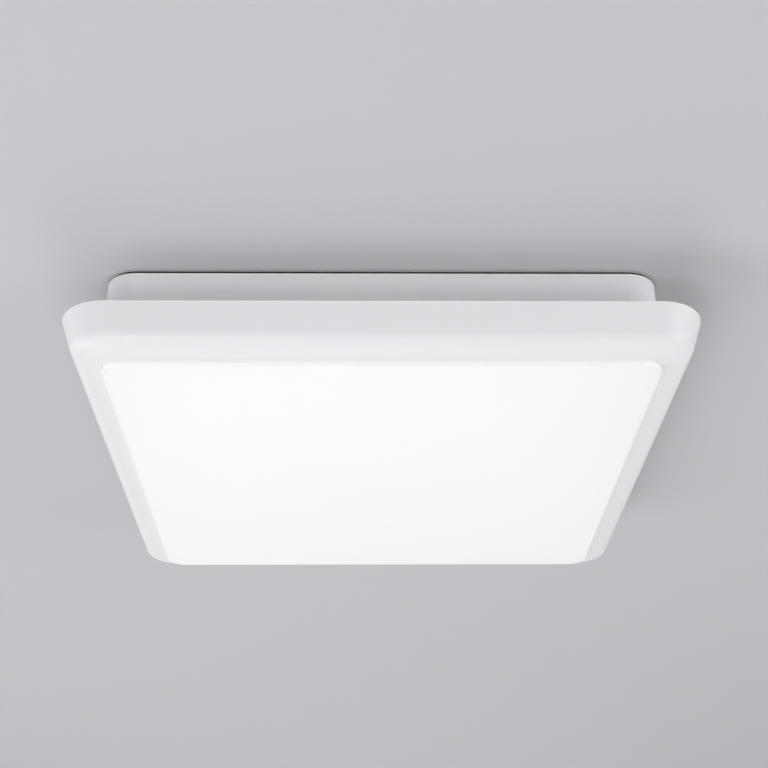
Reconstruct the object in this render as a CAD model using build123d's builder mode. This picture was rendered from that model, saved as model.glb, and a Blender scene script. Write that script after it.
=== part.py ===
from build123d import *
import math
import os

os.makedirs("parts", exist_ok=True)

# Square flush mount ceiling light, in millimetres.
# The ceiling is the plane z = 0 and the light hangs below it. Its middle is the z axis, +x is to the
# right and +y is away from someone who looks up at it.

# ---------------------------------------------------------------- rim and panel, from the outside
rim_width = 400.0  # square over the rim's top edge, the widest place
rim_corner_radius = 30.5  # plan radius of the rim's corners at its top edge
rim_top_depth = 36.5  # the rim's top edge hangs this far below the ceiling
rim_wall = 2.4  # moulded wall
rim_draft = 18.7  # degrees by which the rim's side leans in
rim_edge_round = 0.7  # round on both edges of the rim's top
bezel_slope = 14.5  # degrees by which the bezel falls towards the panel
bezel_fillet = 9.7  # round between the side and the bezel
panel_corner_radius = 14.0
panel_depth = 67.9  # the panel's face hangs this far below the ceiling
panel_proud = 3.4  # the face stands this far below the bezel's inner edge
panel_clearance = 0.3  # gap between the panel and the bezel, each side

# ---------------------------------------------------------------- diffuser
diffuser_wall = 2.5
diffuser_edge_round = 2.2  # round between the panel's face and its sides
diffuser_lip = 5.7  # the lip behind the bezel reaches this far beyond the panel
lip_gap = 1.2  # between the diffuser's lip and the bosses outside it
land_floor = 3.5  # moulding under the diffuser's seat, at the opening
land_margin = 1.2  # the seat is this much wider than the lip
diffuser_seal_thickness = 0.8  # foam under the lip, as pressed
diffuser_seal_inset = 0.7  # the foam stays this far from the lip's edge

# ---------------------------------------------------------------- back pan
pan_setback = 23.35  # of the pan's walls from the rim's top edge
pan_corner_radius = 20.0
pan_sheet = 0.8  # steel sheet
pan_edge_round = 1.0  # outer round between the pan's back and its walls
gasket_thickness = 2.0  # foam on the ceiling, as pressed
gasket_width = 12.0
gasket_inset = 2.0  # from the pan's walls
flange_drop = 2.0  # the flange's upper face lies this far below the rim's top edge
flange_gap = 2.2  # between the flange's edge and the inside of the rim
flange_root_round = 1.4  # outer round between the walls and the flange

# ---------------------------------------------------------------- pan's pressings and holes
mount_setback = 36.65  # of the screw slots' middles from the pan's walls, along x
mount_slot_length = 14.0  # end to end
mount_hole_radius = 2.75  # half the slot's width
mount_pad_length = 36.0
mount_pad_width = 24.0
channel_gap = 27.0  # between a mounting pad and a stiffening channel
channel_width = 14.0
channel_depth = 1.6
knockout_radius = 10.0
knockout_cut = 0.8  # width of the cut round a knock-out
knockout_bridge = 24.0  # degrees of sheet left on each side of it
cable_recess_radius = 17.0
cable_recess_depth = 1.7

# ---------------------------------------------------------------- cable grommet
grommet_bore_radius = 4.5
grommet_hole_radius = 10.0  # hole in the sheet
grommet_flange_radius = 13.0
grommet_upper_flange = 1.4
grommet_lower_flange = 2.0
grommet_nose = 4.5  # the cone round the cable reaches this far below the flange
grommet_fit = 0.05  # play between the grommet's groove and the sheet
grommet_edge_round = 0.5
cone_top_wall = 3.0  # wall of the cone round the cable, at its root
cone_tip_wall = 1.5

# ---------------------------------------------------------------- fasteners
screw_play = 0.15  # radial, round every screw's shank
small_shank_radius = 1.4
small_head_radius = 2.9
small_head_height = 1.7
earth_shank_radius = 1.9
earth_head_radius = 3.9
earth_head_height = 2.6
screw_tip_gap = 0.5  # screws that go through the pan end this far below the ceiling

# ---------------------------------------------------------------- light strips
strip_end_gap = 25.85  # from the strip's ends to the pan's walls
strip_side_gap = 35.85  # from the outer strips to the pan's walls
strip_width = 20.0
strip_thickness = 1.2
strip_corner_round = 1.5
strip_notch_radius = 2.0  # half-round notch in each end
driver_strip_gap = 17.0  # between the driver and the inner strips
lamp_pitch = 50.0
lamp_end_gap = 22.0  # at least this far from the strip's end to its last lamp
chip_length = 3.5
chip_width = 2.8
chip_height = 0.7
lens_radius = 7.5
lens_height = 5.0
lens_edge = 1.4  # height of the lens's upright edge
lens_hollow_radius = 3.2
lens_hollow_depth = 2.2
connector_length = 7.0
connector_width = 15.0
connector_height = 4.6
connector_margin = 1.0  # from the strip's end
connector_ports = 4
port_pitch = 3.4  # between the wires of one connector
wire_socket_depth = 4.0  # of the round holes that the wires end in
wire_socket_play = 0.2
wire_engagement = 3.5  # length of wire inside its connector

# ---------------------------------------------------------------- driver
driver_end_gap = 2.0  # the driver ends this far short of the strips' ends
driver_length = 120.0
driver_width = 42.0
driver_height = 22.0
driver_wall = 1.8
driver_base_height = 6.0
driver_ear = 9.0  # length of each mounting ear
driver_ear_width = 16.0
driver_ear_round = 4.0
driver_corner_round = 3.0
driver_edge_round = 1.6  # round between the driver's face and its sides
vent_count = 7
vent_pitch = 7.0
vent_width = 2.4
vent_length = 24.0
driver_board_thickness = 1.6
driver_board_gap = 2.4  # between the driver's floor and its board
post_radius = 2.2  # posts under the driver's board
post_inset_x = 7.0  # from the driver's inner walls
post_inset_y = 6.0
board_hole_radius = 1.1
board_edge_gap = 0.4  # between the board and the cover's locating lip
lid_play = 0.15  # between the driver's cover and its base
lid_lip_wall = 1.2  # locating lip of the cover
lid_lip_reach = 2.0
notch_play = 0.4  # round the wires where they pass the cover
driver_connector_length = 9.0
driver_connector_height = 8.0
driver_input_ys = (7.0, 1.0)  # live and neutral
driver_output_ys = (3.0, 7.0)  # outer and inner wire, and the same below y = 0
input_connector_width = 18.0
output_connector_width = 22.0
transformer_offset = 8.0  # from the driver's middle
bobbin_length = 22.0
bobbin_width = 16.0
bobbin_plate = 2.0  # thickness of the bobbin's end plates
winding_radius = 8.5
winding_height = 8.0
core_leg = 3.0
core_leg_width = 14.0
filter_offset = 15.0  # capacitor and choke, from the driver's middle
capacitor_y = 7.0
capacitor_radius = 6.0
capacitor_height = 13.0
capacitor_edge = 0.8
choke_y = -8.0
choke_radius = 6.5
choke_bore_radius = 2.5
choke_height = 7.0
choke_edge = 1.2

# ---------------------------------------------------------------- mains terminal block
block_setback = 63.0  # from the cable entry to the middle of the block
block_length = 30.0  # along x, from the mains side to the driver side
block_width = 30.0
block_height = 14.0
block_ear = 7.0
block_ear_thickness = 3.0
block_corner_round = 1.0
block_edge = 0.6
pole_pitch = 8.5
pole_groove = 0.8  # width and depth of the grooves between the poles
test_hole_radius = 1.2
port_size = 3.4
port_depth = 9.0
port_height = 7.0  # of the ports' middle above the block's foot
button_length = 6.0
button_width = 5.0
button_height = 5.0
button_proud = 1.8
button_corner_round = 0.6
button_edge_round = 0.5
button_travel = 1.5
button_play = 0.25
button_x = 7.5  # from the block's middle, on the driver side

# ---------------------------------------------------------------- wires and earth
mains_wire_radius = 1.1
strip_wire_radius = 0.8
cable_driver_gap = 2.0  # between the cable's recess and the driver's ear
earth_setback = 26.0  # from the cable entry, along x
earth_strip_gap = 8.0  # from the earth screw's middle to the inner strip
lug_radius = 4.6
lug_thickness = 0.8
washer_radius = 4.2
washer_thickness = 0.7
barrel_radius = 1.9
barrel_length = 8.0
washer_tooth_count = 10
washer_tooth_depth = 0.8
washer_tooth_gap = 0.9
live_gap = 6.0  # between the neutral and the live wire where they pass the cable entry
lane_gap = 7.0  # from the strips' ends to the first lane of wires
lane_pitch = 5.0
wire_clip_foot_length = 14.0
wire_clip_foot_width = 10.0
wire_clip_foot_thickness = 1.2
wire_clip_length = 9.6
wire_clip_width = 5.0
wire_clip_play = 0.1
wire_clip_mouth = 0.75  # of the wire's width, so that the wire snaps in

# ---------------------------------------------------------------- cover springs and seal
spring_sheet = 0.6
spring_width = 24.0
spring_bite = 2.3  # the spring's bulge reaches this far under the cover's shelf
spring_gap = 0.9  # between the spring's neck and the shelf
spring_foot = 7.0
spring_tip_setback = 3.0  # the spring's lower end stands this far in from its neck
spring_tip_drop = 8.5  # of its lower end below the shelf
spring_bulge_drop = 2.4  # of its bulge below the shelf
rivet_radius = 1.6
rivet_head_radius = 2.8
rivet_head_height = 1.1
rivet_spread = 15.0  # between the two rivets of a spring
rivet_clearance = 0.25  # between a rivet's head and the round at the flange's root
rivet_tail_share = 0.9  # the upset head is this much of the formed head's radius
shelf_thickness = 2.0
seal_thickness = 1.4  # foam on the shelf, as pressed
seal_margin = 1.2  # of the foam from the shelf's inner edge and from the flange's edge
seal_clearance = 0.1  # between the foam and the pan's flange
gusset_count = 7  # under the shelf, on each side
gusset_end_gap = 31.5  # from the rim's corner rounds to the last gussets
gusset_thickness = 1.6
gusset_height = 12.0

# ---------------------------------------------------------------- diffuser clips
clip_corner_gap = 58.8  # from the panel's sides to the clips round the corner
clip_rim_gap = 1.92  # between a clip's outer end and the inside of the rim
clip_corner_round = 1.5
clip_sheet = 1.2
clip_width = 12.0
clip_grip = 3.5  # the clip reaches this far over the diffuser's lip
boss_radius = 3.2
clip_end = 3.6  # from the boss's middle to the clip's outer end
clip_shank_radius = 1.1
clip_head_radius = 2.3
clip_head_height = 1.5
clip_hole_floor = 1.0  # moulding left under the hole of a clip's screw
clip_shank_end_gap = 0.2
clip_head_edge = 0.6

# ---------------------------------------------------------------- sizes and heights that follow
pan_width = rim_width - 2 * pan_setback
pan_inner_width = pan_width - 2 * pan_sheet
pan_back_z = -gasket_thickness
pan_floor_z = pan_back_z - pan_sheet
rim_top_z = -rim_top_depth
flange_top_z = rim_top_z - flange_drop
flange_bottom_z = flange_top_z - pan_sheet
shelf_top_z = flange_bottom_z - seal_clearance - seal_thickness
shelf_bottom_z = shelf_top_z - shelf_thickness
panel_face_z = -panel_depth
bezel_end_z = panel_face_z + panel_proud
land_z = bezel_end_z + land_floor
lip_bottom_z = land_z + diffuser_seal_thickness
lip_top_z = lip_bottom_z + diffuser_wall
clip_bottom_z = lip_top_z
strip_face_z = pan_floor_z - strip_thickness
strip_length = pan_inner_width - 2 * strip_end_gap
outer_strip_y = pan_inner_width / 2 - strip_side_gap - strip_width / 2
inner_strip_y = driver_width / 2 + driver_strip_gap + strip_width / 2
strip_ys = (outer_strip_y, inner_strip_y, -inner_strip_y, -outer_strip_y)
lamp_count = int((strip_length - 2 * lamp_end_gap) // lamp_pitch) + 1
strip_xs = [lamp_pitch * (number - (lamp_count - 1) / 2) for number in range(lamp_count)]
strip_screw_xs = [
    strip_xs[number] + lamp_pitch / 2 for number in (0, (lamp_count - 1) // 2, lamp_count - 2)
]
mount_spacing_x = pan_width - 2 * mount_setback
mount_spacing_y = outer_strip_y + inner_strip_y
channel_length = mount_spacing_x - mount_pad_length - 2 * channel_gap
knockout_x = -mount_spacing_x / 2
connector_x = strip_length / 2 - connector_margin - connector_length / 2
driver_right = strip_length / 2 - driver_end_gap
driver_left = driver_right - driver_length
driver_middle = driver_right - driver_length / 2
cable_x = driver_left - driver_ear - cable_driver_gap - cable_recess_radius
block_x = cable_x - block_setback
earth_x = cable_x - earth_setback
earth_y = earth_strip_gap + strip_width / 2 - inner_strip_y
driver_floor_z = pan_floor_z - driver_wall
driver_rim_z = pan_floor_z - driver_base_height
driver_face_z = pan_floor_z - driver_height
driver_board_z = driver_floor_z - driver_board_gap - driver_board_thickness


# ---------------------------------------------------------------- shared shapes
def side_half(z, inset=0.0):
    """Half width of the rim's leaning side at height z, moved `inset` into the wall."""
    draft = math.radians(rim_draft)
    return rim_width / 2 - inset / math.cos(draft) - math.tan(draft) * (rim_top_z - z)


def bezel_z(half, inset=0.0):
    """Height of the sloped bezel at this half width, moved `inset` into the wall."""
    slope = math.radians(bezel_slope)
    return bezel_end_z + inset / math.cos(slope) + math.tan(slope) * (half - panel_width / 2)


def knee(inset=0.0):
    """Half width and height where the side meets the bezel, both moved `inset` into the wall."""
    lean = math.tan(math.radians(rim_draft))
    fall = math.tan(math.radians(bezel_slope))
    top_half = side_half(rim_top_z, inset)
    drop = (rim_top_z - bezel_z(top_half, inset)) / (1 - lean * fall)
    return top_half - lean * drop, rim_top_z - drop


def rim_corner(half):
    """Plan radius of a rounded square of this half width that runs parallel to the rim."""
    return rim_corner_radius - (rim_width / 2 - half)


def bezel_corner(half):
    """Plan radius on the bezel, which tightens from the rim's corners to the panel's."""
    knee_half = knee()[0]
    share = (half - panel_width / 2) / (knee_half - panel_width / 2)
    return panel_corner_radius + share * (rim_corner(knee_half) - panel_corner_radius)


def section_plane(turn, along=0.0):
    """Upright plane across one side: local x points outwards, local y up, slid `along` the side."""
    outwards = Vector(1, 0, 0).rotate(Axis.Z, turn)
    sideways = Vector(0, 1, 0).rotate(Axis.Z, turn)
    return Plane(origin=sideways * along, x_dir=outwards, z_dir=outwards.cross(Vector(0, 0, 1)))


def pan_head_screw(seat, shank_radius, shank_length, head_radius, head_height):
    """Screw driven upwards: coned head below its seat (x, y, z), shank above it."""
    x, y, z = seat
    with BuildPart() as screw:
        with BuildSketch(Plane(origin=(x, y, z), x_dir=(1, 0, 0), z_dir=(0, -1, 0))):
            with BuildLine():
                Polyline(
                    (0, -head_height),
                    (head_radius * 0.55, -head_height),
                    (head_radius * 0.87, -head_height * 0.75),
                    (head_radius, -head_height * 0.25),
                    (head_radius, 0),
                    (shank_radius, 0),
                    (shank_radius, shank_length - shank_radius / 2),
                    (shank_radius / 2, shank_length),
                    (0, shank_length),
                    close=True,
                )
            make_face()
        revolve(axis=Axis(origin=(x, y, z), direction=(0, 0, 1)))
    return screw.part


def insulated_wire(route, radius):
    """Round wire along straight runs, with each bend as large as its two runs allow."""
    points = [Vector(*point) for point in route]
    bends = []
    for before, corner, after in zip(points, points[1:], points[2:]):
        half_turn = math.radians((corner - before).get_angle(after - corner)) / 2
        shorter_run = min((corner - before).length, (after - corner).length)
        bends.append(0.45 * shorter_run / math.tan(half_turn))
    with BuildPart() as wire:
        with BuildLine() as path:
            FilletPolyline(*points, radius=bends)
        with BuildSketch(Plane(origin=path.line @ 0, z_dir=path.line % 0)):
            Circle(radius)
        sweep(path=path.line)
    return wire.part


# ---------------------------------------------------------------- widths that follow from the rim's side
clip_outer_half = side_half(clip_bottom_z, rim_wall) - clip_rim_gap
boss_half = clip_outer_half - clip_end
lip_half = boss_half - boss_radius - lip_gap
panel_width = 2 * (lip_half - diffuser_lip)
flange_half = side_half(flange_bottom_z, rim_wall) - flange_gap
rivet_half = pan_width / 2 + flange_root_round + rivet_clearance + rivet_head_radius
neck_half = rivet_half + spring_foot / 2
shelf_half = neck_half + spring_sheet + spring_gap
rivet_places = []
for turn in range(0, 360, 90):
    outwards = Vector(rivet_half, 0).rotate(Axis.Z, turn)
    sideways = Vector(0, rivet_spread / 2).rotate(Axis.Z, turn)
    rivet_places.append((outwards + sideways, outwards - sideways))

# ---------------------------------------------------------------- back pan
mount_places = GridLocations(mount_spacing_x, mount_spacing_y, 2, 2)
through_screw_length = -pan_floor_z - screw_tip_gap
strip_screw_places = [(x, y) for y in strip_ys for x in strip_screw_xs]
driver_screw_places = [
    (driver_left - driver_ear / 2, 0.0),
    (driver_right + driver_ear / 2, 0.0),
]
block_screw_places = [
    (block_x, block_width / 2 + block_ear / 2),
    (block_x, -block_width / 2 - block_ear / 2),
]

with BuildPart() as base_pan:
    with BuildSketch(Plane.XY.offset(flange_bottom_z)):
        RectangleRounded(pan_width, pan_width, pan_corner_radius)
    extrude(amount=pan_back_z - flange_bottom_z)
    fillet(base_pan.faces().sort_by(Axis.Z)[-1].edges(), pan_edge_round)
    offset(amount=-pan_sheet, openings=base_pan.faces().sort_by(Axis.Z)[0])
    # flange, rolled out of the walls
    with BuildSketch(Plane.XY.offset(flange_bottom_z)):
        RectangleRounded(2 * flange_half, 2 * flange_half, rim_corner(flange_half))
        RectangleRounded(
            pan_inner_width,
            pan_inner_width,
            pan_corner_radius - pan_sheet,
            mode=Mode.SUBTRACT,
        )
    extrude(amount=pan_sheet)
    bend_edges = base_pan.edges().filter_by(
        lambda edge: max(abs(edge.center().X), abs(edge.center().Y)) < pan_width / 2 + 0.1
    )
    fillet(bend_edges.filter_by_position(Axis.Z, flange_top_z - 0.01, flange_top_z + 0.01),
           flange_root_round)
    mouth_edges = base_pan.faces().sort_by(Axis.Z)[0].inner_wires().edges()
    fillet(mouth_edges, flange_root_round + pan_sheet)
    # mounting pads, pressed out to the ceiling
    with BuildSketch(Plane.XY.offset(pan_back_z)):
        with mount_places:
            SlotOverall(mount_pad_length, mount_pad_width)
    extrude(amount=-pan_back_z, taper=30)
    with BuildSketch(Plane.XY.offset(pan_floor_z)):
        with mount_places:
            SlotOverall(mount_pad_length - 2 * pan_sheet, mount_pad_width - 2 * pan_sheet)
    extrude(amount=gasket_thickness, taper=30, mode=Mode.SUBTRACT)
    # stiffening channels, pressed in
    channel_places = GridLocations(0, mount_spacing_y, 1, 2)
    with BuildSketch(Plane.XY.offset(pan_floor_z)):
        with channel_places:
            SlotOverall(channel_length, channel_width)
    extrude(amount=-channel_depth, taper=35)
    with BuildSketch(Plane.XY.offset(pan_back_z)):
        with channel_places:
            SlotOverall(channel_length - 2 * pan_sheet, channel_width - 2 * pan_sheet)
    extrude(amount=-channel_depth, taper=35, mode=Mode.SUBTRACT)
    # recess and hole for the grommet
    with BuildSketch(Plane.XY.offset(pan_floor_z)):
        with Locations((cable_x, 0)):
            Circle(cable_recess_radius)
    extrude(amount=-cable_recess_depth, taper=30)
    with BuildSketch(Plane.XY.offset(pan_back_z)):
        with Locations((cable_x, 0)):
            Circle(cable_recess_radius - pan_sheet)
    extrude(amount=-cable_recess_depth, taper=30, mode=Mode.SUBTRACT)
    with BuildSketch(Plane.XY.offset(pan_floor_z - cable_recess_depth)):
        with Locations((cable_x, 0)):
            Circle(grommet_hole_radius)
    extrude(amount=-pan_floor_z, mode=Mode.SUBTRACT)
    # screw slots and holes, and the knock-out's two cuts
    with BuildSketch(Plane.XY.offset(pan_floor_z)):
        with mount_places:
            SlotOverall(mount_slot_length, 2 * mount_hole_radius)
        with Locations(*strip_screw_places, *driver_screw_places, *block_screw_places):
            Circle(small_shank_radius + screw_play)
        with Locations((earth_x, earth_y)):
            Circle(earth_shank_radius + screw_play)
        with Locations((knockout_x, 0)):
            Circle(knockout_radius)
            Circle(knockout_radius - knockout_cut, mode=Mode.SUBTRACT)
            Rectangle(
                2 * knockout_radius + 1,
                2 * knockout_radius * math.sin(math.radians(knockout_bridge / 2)),
                mode=Mode.SUBTRACT,
            )
    extrude(amount=-pan_floor_z, mode=Mode.SUBTRACT)
    # rivet holes in the flange
    with BuildSketch(Plane.XY.offset(flange_bottom_z)):
        for pair in rivet_places:
            with Locations(*pair):
                Circle(rivet_radius)
    extrude(amount=pan_sheet, mode=Mode.SUBTRACT)
base_pan.part.label = "base_pan"
export_step(base_pan.part, "parts/base_pan.step")

# ---------------------------------------------------------------- seal on the ceiling
gasket_outer = pan_width - 2 * gasket_inset
gasket_inner = gasket_outer - 2 * gasket_width

with BuildPart() as ceiling_gasket:
    with BuildSketch(Plane.XY.offset(pan_back_z)):
        RectangleRounded(gasket_outer, gasket_outer, pan_corner_radius - gasket_inset)
        RectangleRounded(
            gasket_inner,
            gasket_inner,
            pan_corner_radius - gasket_inset - gasket_width,
            mode=Mode.SUBTRACT,
        )
    extrude(amount=gasket_thickness)
ceiling_gasket.part.label = "ceiling_gasket"
export_step(ceiling_gasket.part, "parts/ceiling_gasket.step")

# ---------------------------------------------------------------- grommet in the cable hole
groove_top_z = pan_back_z - cable_recess_depth + grommet_fit
groove_bottom_z = pan_floor_z - cable_recess_depth - grommet_fit
grommet_foot_z = groove_bottom_z - grommet_lower_flange
groove_radius = grommet_hole_radius - grommet_fit

with BuildPart() as cable_grommet:
    with BuildSketch(Plane(origin=(cable_x, 0, 0), x_dir=(1, 0, 0), z_dir=(0, -1, 0))):
        with BuildLine():
            Polyline(
                (grommet_bore_radius, groove_top_z + grommet_upper_flange),
                (grommet_flange_radius, groove_top_z + grommet_upper_flange),
                (grommet_flange_radius, groove_top_z),
                (groove_radius, groove_top_z),
                (groove_radius, groove_bottom_z),
                (grommet_flange_radius, groove_bottom_z),
                (grommet_flange_radius - 2 * grommet_edge_round, grommet_foot_z),
                (grommet_bore_radius + cone_top_wall, grommet_foot_z),
                (grommet_bore_radius + cone_tip_wall, grommet_foot_z - grommet_nose),
                (grommet_bore_radius, grommet_foot_z - grommet_nose),
                close=True,
            )
        make_face()
    revolve(axis=Axis(origin=(cable_x, 0, 0), direction=(0, 0, 1)))
    fillet(
        cable_grommet.edges().group_by(Axis.Z)[-1].sort_by(SortBy.RADIUS)[-1],
        grommet_edge_round,
    )
cable_grommet.part.label = "cable_grommet"
export_step(cable_grommet.part, "parts/cable_grommet.step")

# ---------------------------------------------------------------- mains terminal block
block_face_z = pan_floor_z - block_height
port_z = pan_floor_z - port_height
button_inside = button_height - button_proud
pocket_depth = button_inside + button_travel + button_play

with BuildPart() as terminal_block:
    with BuildSketch(Plane.XY.offset(pan_floor_z)):
        with Locations((block_x, 0)):
            Rectangle(block_length, block_width)
    extrude(amount=-block_height)
    fillet(terminal_block.edges().filter_by(Axis.Z), block_corner_round)
    chamfer(terminal_block.faces().sort_by(Axis.Z)[0].edges(), block_edge)
    # mounting ears
    with BuildSketch(Plane.XY.offset(pan_floor_z)):
        with Locations((block_x, 0)):
            SlotOverall(block_width + 2 * block_ear, 2 * block_ear, rotation=90)
    extrude(amount=-block_ear_thickness)
    with BuildSketch(Plane.XY.offset(pan_floor_z)):
        with Locations(*block_screw_places):
            Circle(small_shank_radius + screw_play)
    extrude(amount=-block_ear_thickness, mode=Mode.SUBTRACT)
    # wire ports on both ends
    for end in (-1, 1):
        port_plane = Plane(
            origin=(block_x + end * block_length / 2, 0, port_z),
            x_dir=(0, 0, 1),
            z_dir=(end, 0, 0),
        )
        with BuildSketch(port_plane):
            with GridLocations(0, pole_pitch, 1, 3):
                Rectangle(port_size, port_size)
        extrude(amount=-port_depth, mode=Mode.SUBTRACT)
    # pockets of the release buttons, test holes, and the grooves between the poles
    with BuildSketch(Plane.XY.offset(block_face_z)):
        with Locations((block_x + button_x, 0)):
            with GridLocations(0, pole_pitch, 1, 3):
                Rectangle(button_length + 2 * button_play, button_width + 2 * button_play)
    extrude(amount=pocket_depth, mode=Mode.SUBTRACT)
    with BuildSketch(Plane.XY.offset(block_face_z)):
        with Locations((block_x - button_x, 0)):
            with GridLocations(0, pole_pitch, 1, 3):
                Circle(test_hole_radius)
    extrude(amount=block_height / 3, mode=Mode.SUBTRACT)
    with BuildSketch(Plane.XY.offset(block_face_z)):
        with Locations((block_x, 0)):
            with GridLocations(0, pole_pitch, 1, 2):
                Rectangle(block_length, pole_groove)
    extrude(amount=pole_groove, mode=Mode.SUBTRACT)
terminal_block.part.label = "terminal_block"
export_step(terminal_block.part, "parts/terminal_block.step")

for number, pole_y in enumerate((pole_pitch, 0.0, -pole_pitch), start=1):
    with BuildPart() as terminal_button:
        with BuildSketch(Plane.XY.offset(block_face_z - button_proud)):
            with Locations((block_x + button_x, pole_y)):
                RectangleRounded(button_length, button_width, button_corner_round)
        extrude(amount=button_height)
        fillet(terminal_button.faces().sort_by(Axis.Z)[0].edges(), button_edge_round)
    terminal_button.part.label = f"terminal_button_{number}"
    export_step(terminal_button.part, f"parts/terminal_button_{number}.step")

block_screws = [
    pan_head_screw(
        (x, y, pan_floor_z - block_ear_thickness),
        small_shank_radius,
        block_ear_thickness + through_screw_length,
        small_head_radius,
        small_head_height,
    )
    for x, y in block_screw_places
]
terminal_screws = Part(children=block_screws, label="terminal_screws")
export_step(terminal_screws, "parts/terminal_screws.step")

# ---------------------------------------------------------------- earth point
lug_top_z = pan_floor_z - washer_thickness
lug_bottom_z = lug_top_z - lug_thickness
barrel_z = lug_top_z - barrel_radius
barrel_start = earth_y + 1.3 * lug_radius
barrel_end = barrel_start + barrel_length

with BuildPart() as earth_washer:
    with BuildSketch(Plane.XY.offset(lug_top_z)):
        with Locations((earth_x, earth_y)):
            Circle(washer_radius)
            Circle(earth_shank_radius + screw_play, mode=Mode.SUBTRACT)
            with PolarLocations(washer_radius, washer_tooth_count):
                Rectangle(2 * washer_tooth_depth, washer_tooth_gap, mode=Mode.SUBTRACT)
    extrude(amount=washer_thickness)
earth_washer.part.label = "earth_washer"
export_step(earth_washer.part, "parts/earth_washer.step")

with BuildPart() as earth_lug:
    with BuildSketch(Plane.XY.offset(lug_bottom_z)):
        with Locations((earth_x, earth_y)):
            Circle(lug_radius)
        with Locations((earth_x, (earth_y + barrel_end) / 2)):
            Rectangle(2 * barrel_radius, barrel_end - earth_y)
        with Locations((earth_x, earth_y)):
            Circle(earth_shank_radius + screw_play, mode=Mode.SUBTRACT)
    extrude(amount=lug_thickness)
    with BuildSketch(Plane.XZ.offset(-barrel_start)):
        with Locations((earth_x, barrel_z)):
            Circle(barrel_radius)
    extrude(amount=-barrel_length)
    with BuildSketch(Plane.XZ.offset(-barrel_start)):
        with Locations((earth_x, barrel_z)):
            Circle(mains_wire_radius)
    extrude(amount=-barrel_length, mode=Mode.SUBTRACT)
earth_lug.part.label = "earth_lug"
export_step(earth_lug.part, "parts/earth_lug.step")

earth_screw = pan_head_screw(
    (earth_x, earth_y, lug_bottom_z),
    earth_shank_radius,
    -screw_tip_gap - lug_bottom_z,
    earth_head_radius,
    earth_head_height,
)
earth_screw.label = "earth_screw"
export_step(earth_screw, "parts/earth_screw.step")

# ---------------------------------------------------------------- mains wires
port_inside_x = block_x + block_length / 2 - 2 * port_depth / 3
port_run = 1.8 * port_depth  # straight length of wire that starts inside a port
driver_wire_z = driver_board_z - driver_connector_height / 2
driver_connector_gap = 2.0  # between the cover's walls and the connectors
driver_face_in = driver_left + driver_wall + driver_connector_gap + wire_socket_depth / 2
neutral_y = cable_recess_radius + 2.5  # the wires pass the cable entry along these lines
live_y = neutral_y + live_gap

earth_wire = insulated_wire(
    [
        (port_inside_x, -pole_pitch, port_z),
        (port_inside_x + port_run, -pole_pitch, port_z),
        (earth_x, -pole_pitch, barrel_z),
        (earth_x, barrel_end - barrel_radius, barrel_z),
    ],
    mains_wire_radius,
)
earth_wire.label = "earth_wire"
export_step(earth_wire, "parts/earth_wire.step")

neutral_wire = insulated_wire(
    [
        (port_inside_x, 0, port_z),
        (port_inside_x + port_run, 0, port_z),
        (cable_x - neutral_y, neutral_y, port_z),
        (driver_left - neutral_y, neutral_y, port_z),
        (driver_left - driver_ear / 2, driver_input_ys[1], driver_wire_z),
        (driver_face_in, driver_input_ys[1], driver_wire_z),
    ],
    mains_wire_radius,
)
neutral_wire.label = "neutral_wire"
export_step(neutral_wire, "parts/neutral_wire.step")

live_wire = insulated_wire(
    [
        (port_inside_x, pole_pitch, port_z),
        (port_inside_x + port_run, pole_pitch, port_z),
        (cable_x - neutral_y, live_y, port_z),
        (driver_left - neutral_y + driver_ear / 2, live_y, port_z),
        (driver_left - driver_ear / 2, driver_input_ys[0], driver_wire_z),
        (driver_face_in, driver_input_ys[0], driver_wire_z),
    ],
    mains_wire_radius,
)
live_wire.label = "live_wire"
export_step(live_wire, "parts/live_wire.step")

# ---------------------------------------------------------------- driver
driver_inner_length = driver_length - 2 * driver_wall
driver_inner_width = driver_width - 2 * driver_wall
lid_length = driver_inner_length - 2 * lid_play
lid_width = driver_inner_width - 2 * lid_play
post_places = [
    (driver_middle + end * (driver_inner_length / 2 - post_inset_x),
     side * (driver_inner_width / 2 - post_inset_y))
    for end in (-1, 1)
    for side in (-1, 1)
]

with BuildPart() as driver_base:
    with BuildSketch(Plane.XY.offset(pan_floor_z)):
        with Locations((driver_middle, 0)):
            RectangleRounded(driver_length, driver_width, driver_corner_round)
    extrude(amount=-driver_base_height)
    with BuildSketch(Plane.XY.offset(driver_floor_z)):
        with Locations((driver_middle, 0)):
            RectangleRounded(
                driver_inner_length, driver_inner_width, driver_corner_round - driver_wall
            )
    extrude(amount=driver_rim_z - driver_floor_z, mode=Mode.SUBTRACT)
    # mounting ears
    with BuildSketch(Plane.XY.offset(pan_floor_z)):
        with Locations((driver_middle, 0)):
            RectangleRounded(
                driver_length + 2 * driver_ear, driver_ear_width, driver_ear_round
            )
        with Locations(*driver_screw_places):
            Circle(small_shank_radius + screw_play, mode=Mode.SUBTRACT)
    extrude(amount=-driver_wall)
    # posts under the board
    with BuildSketch(Plane.XY.offset(driver_floor_z)):
        with Locations(*post_places):
            Circle(post_radius)
    extrude(amount=-driver_board_gap)
driver_base.part.label = "driver_base"
export_step(driver_base.part, "parts/driver_base.step")

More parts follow.
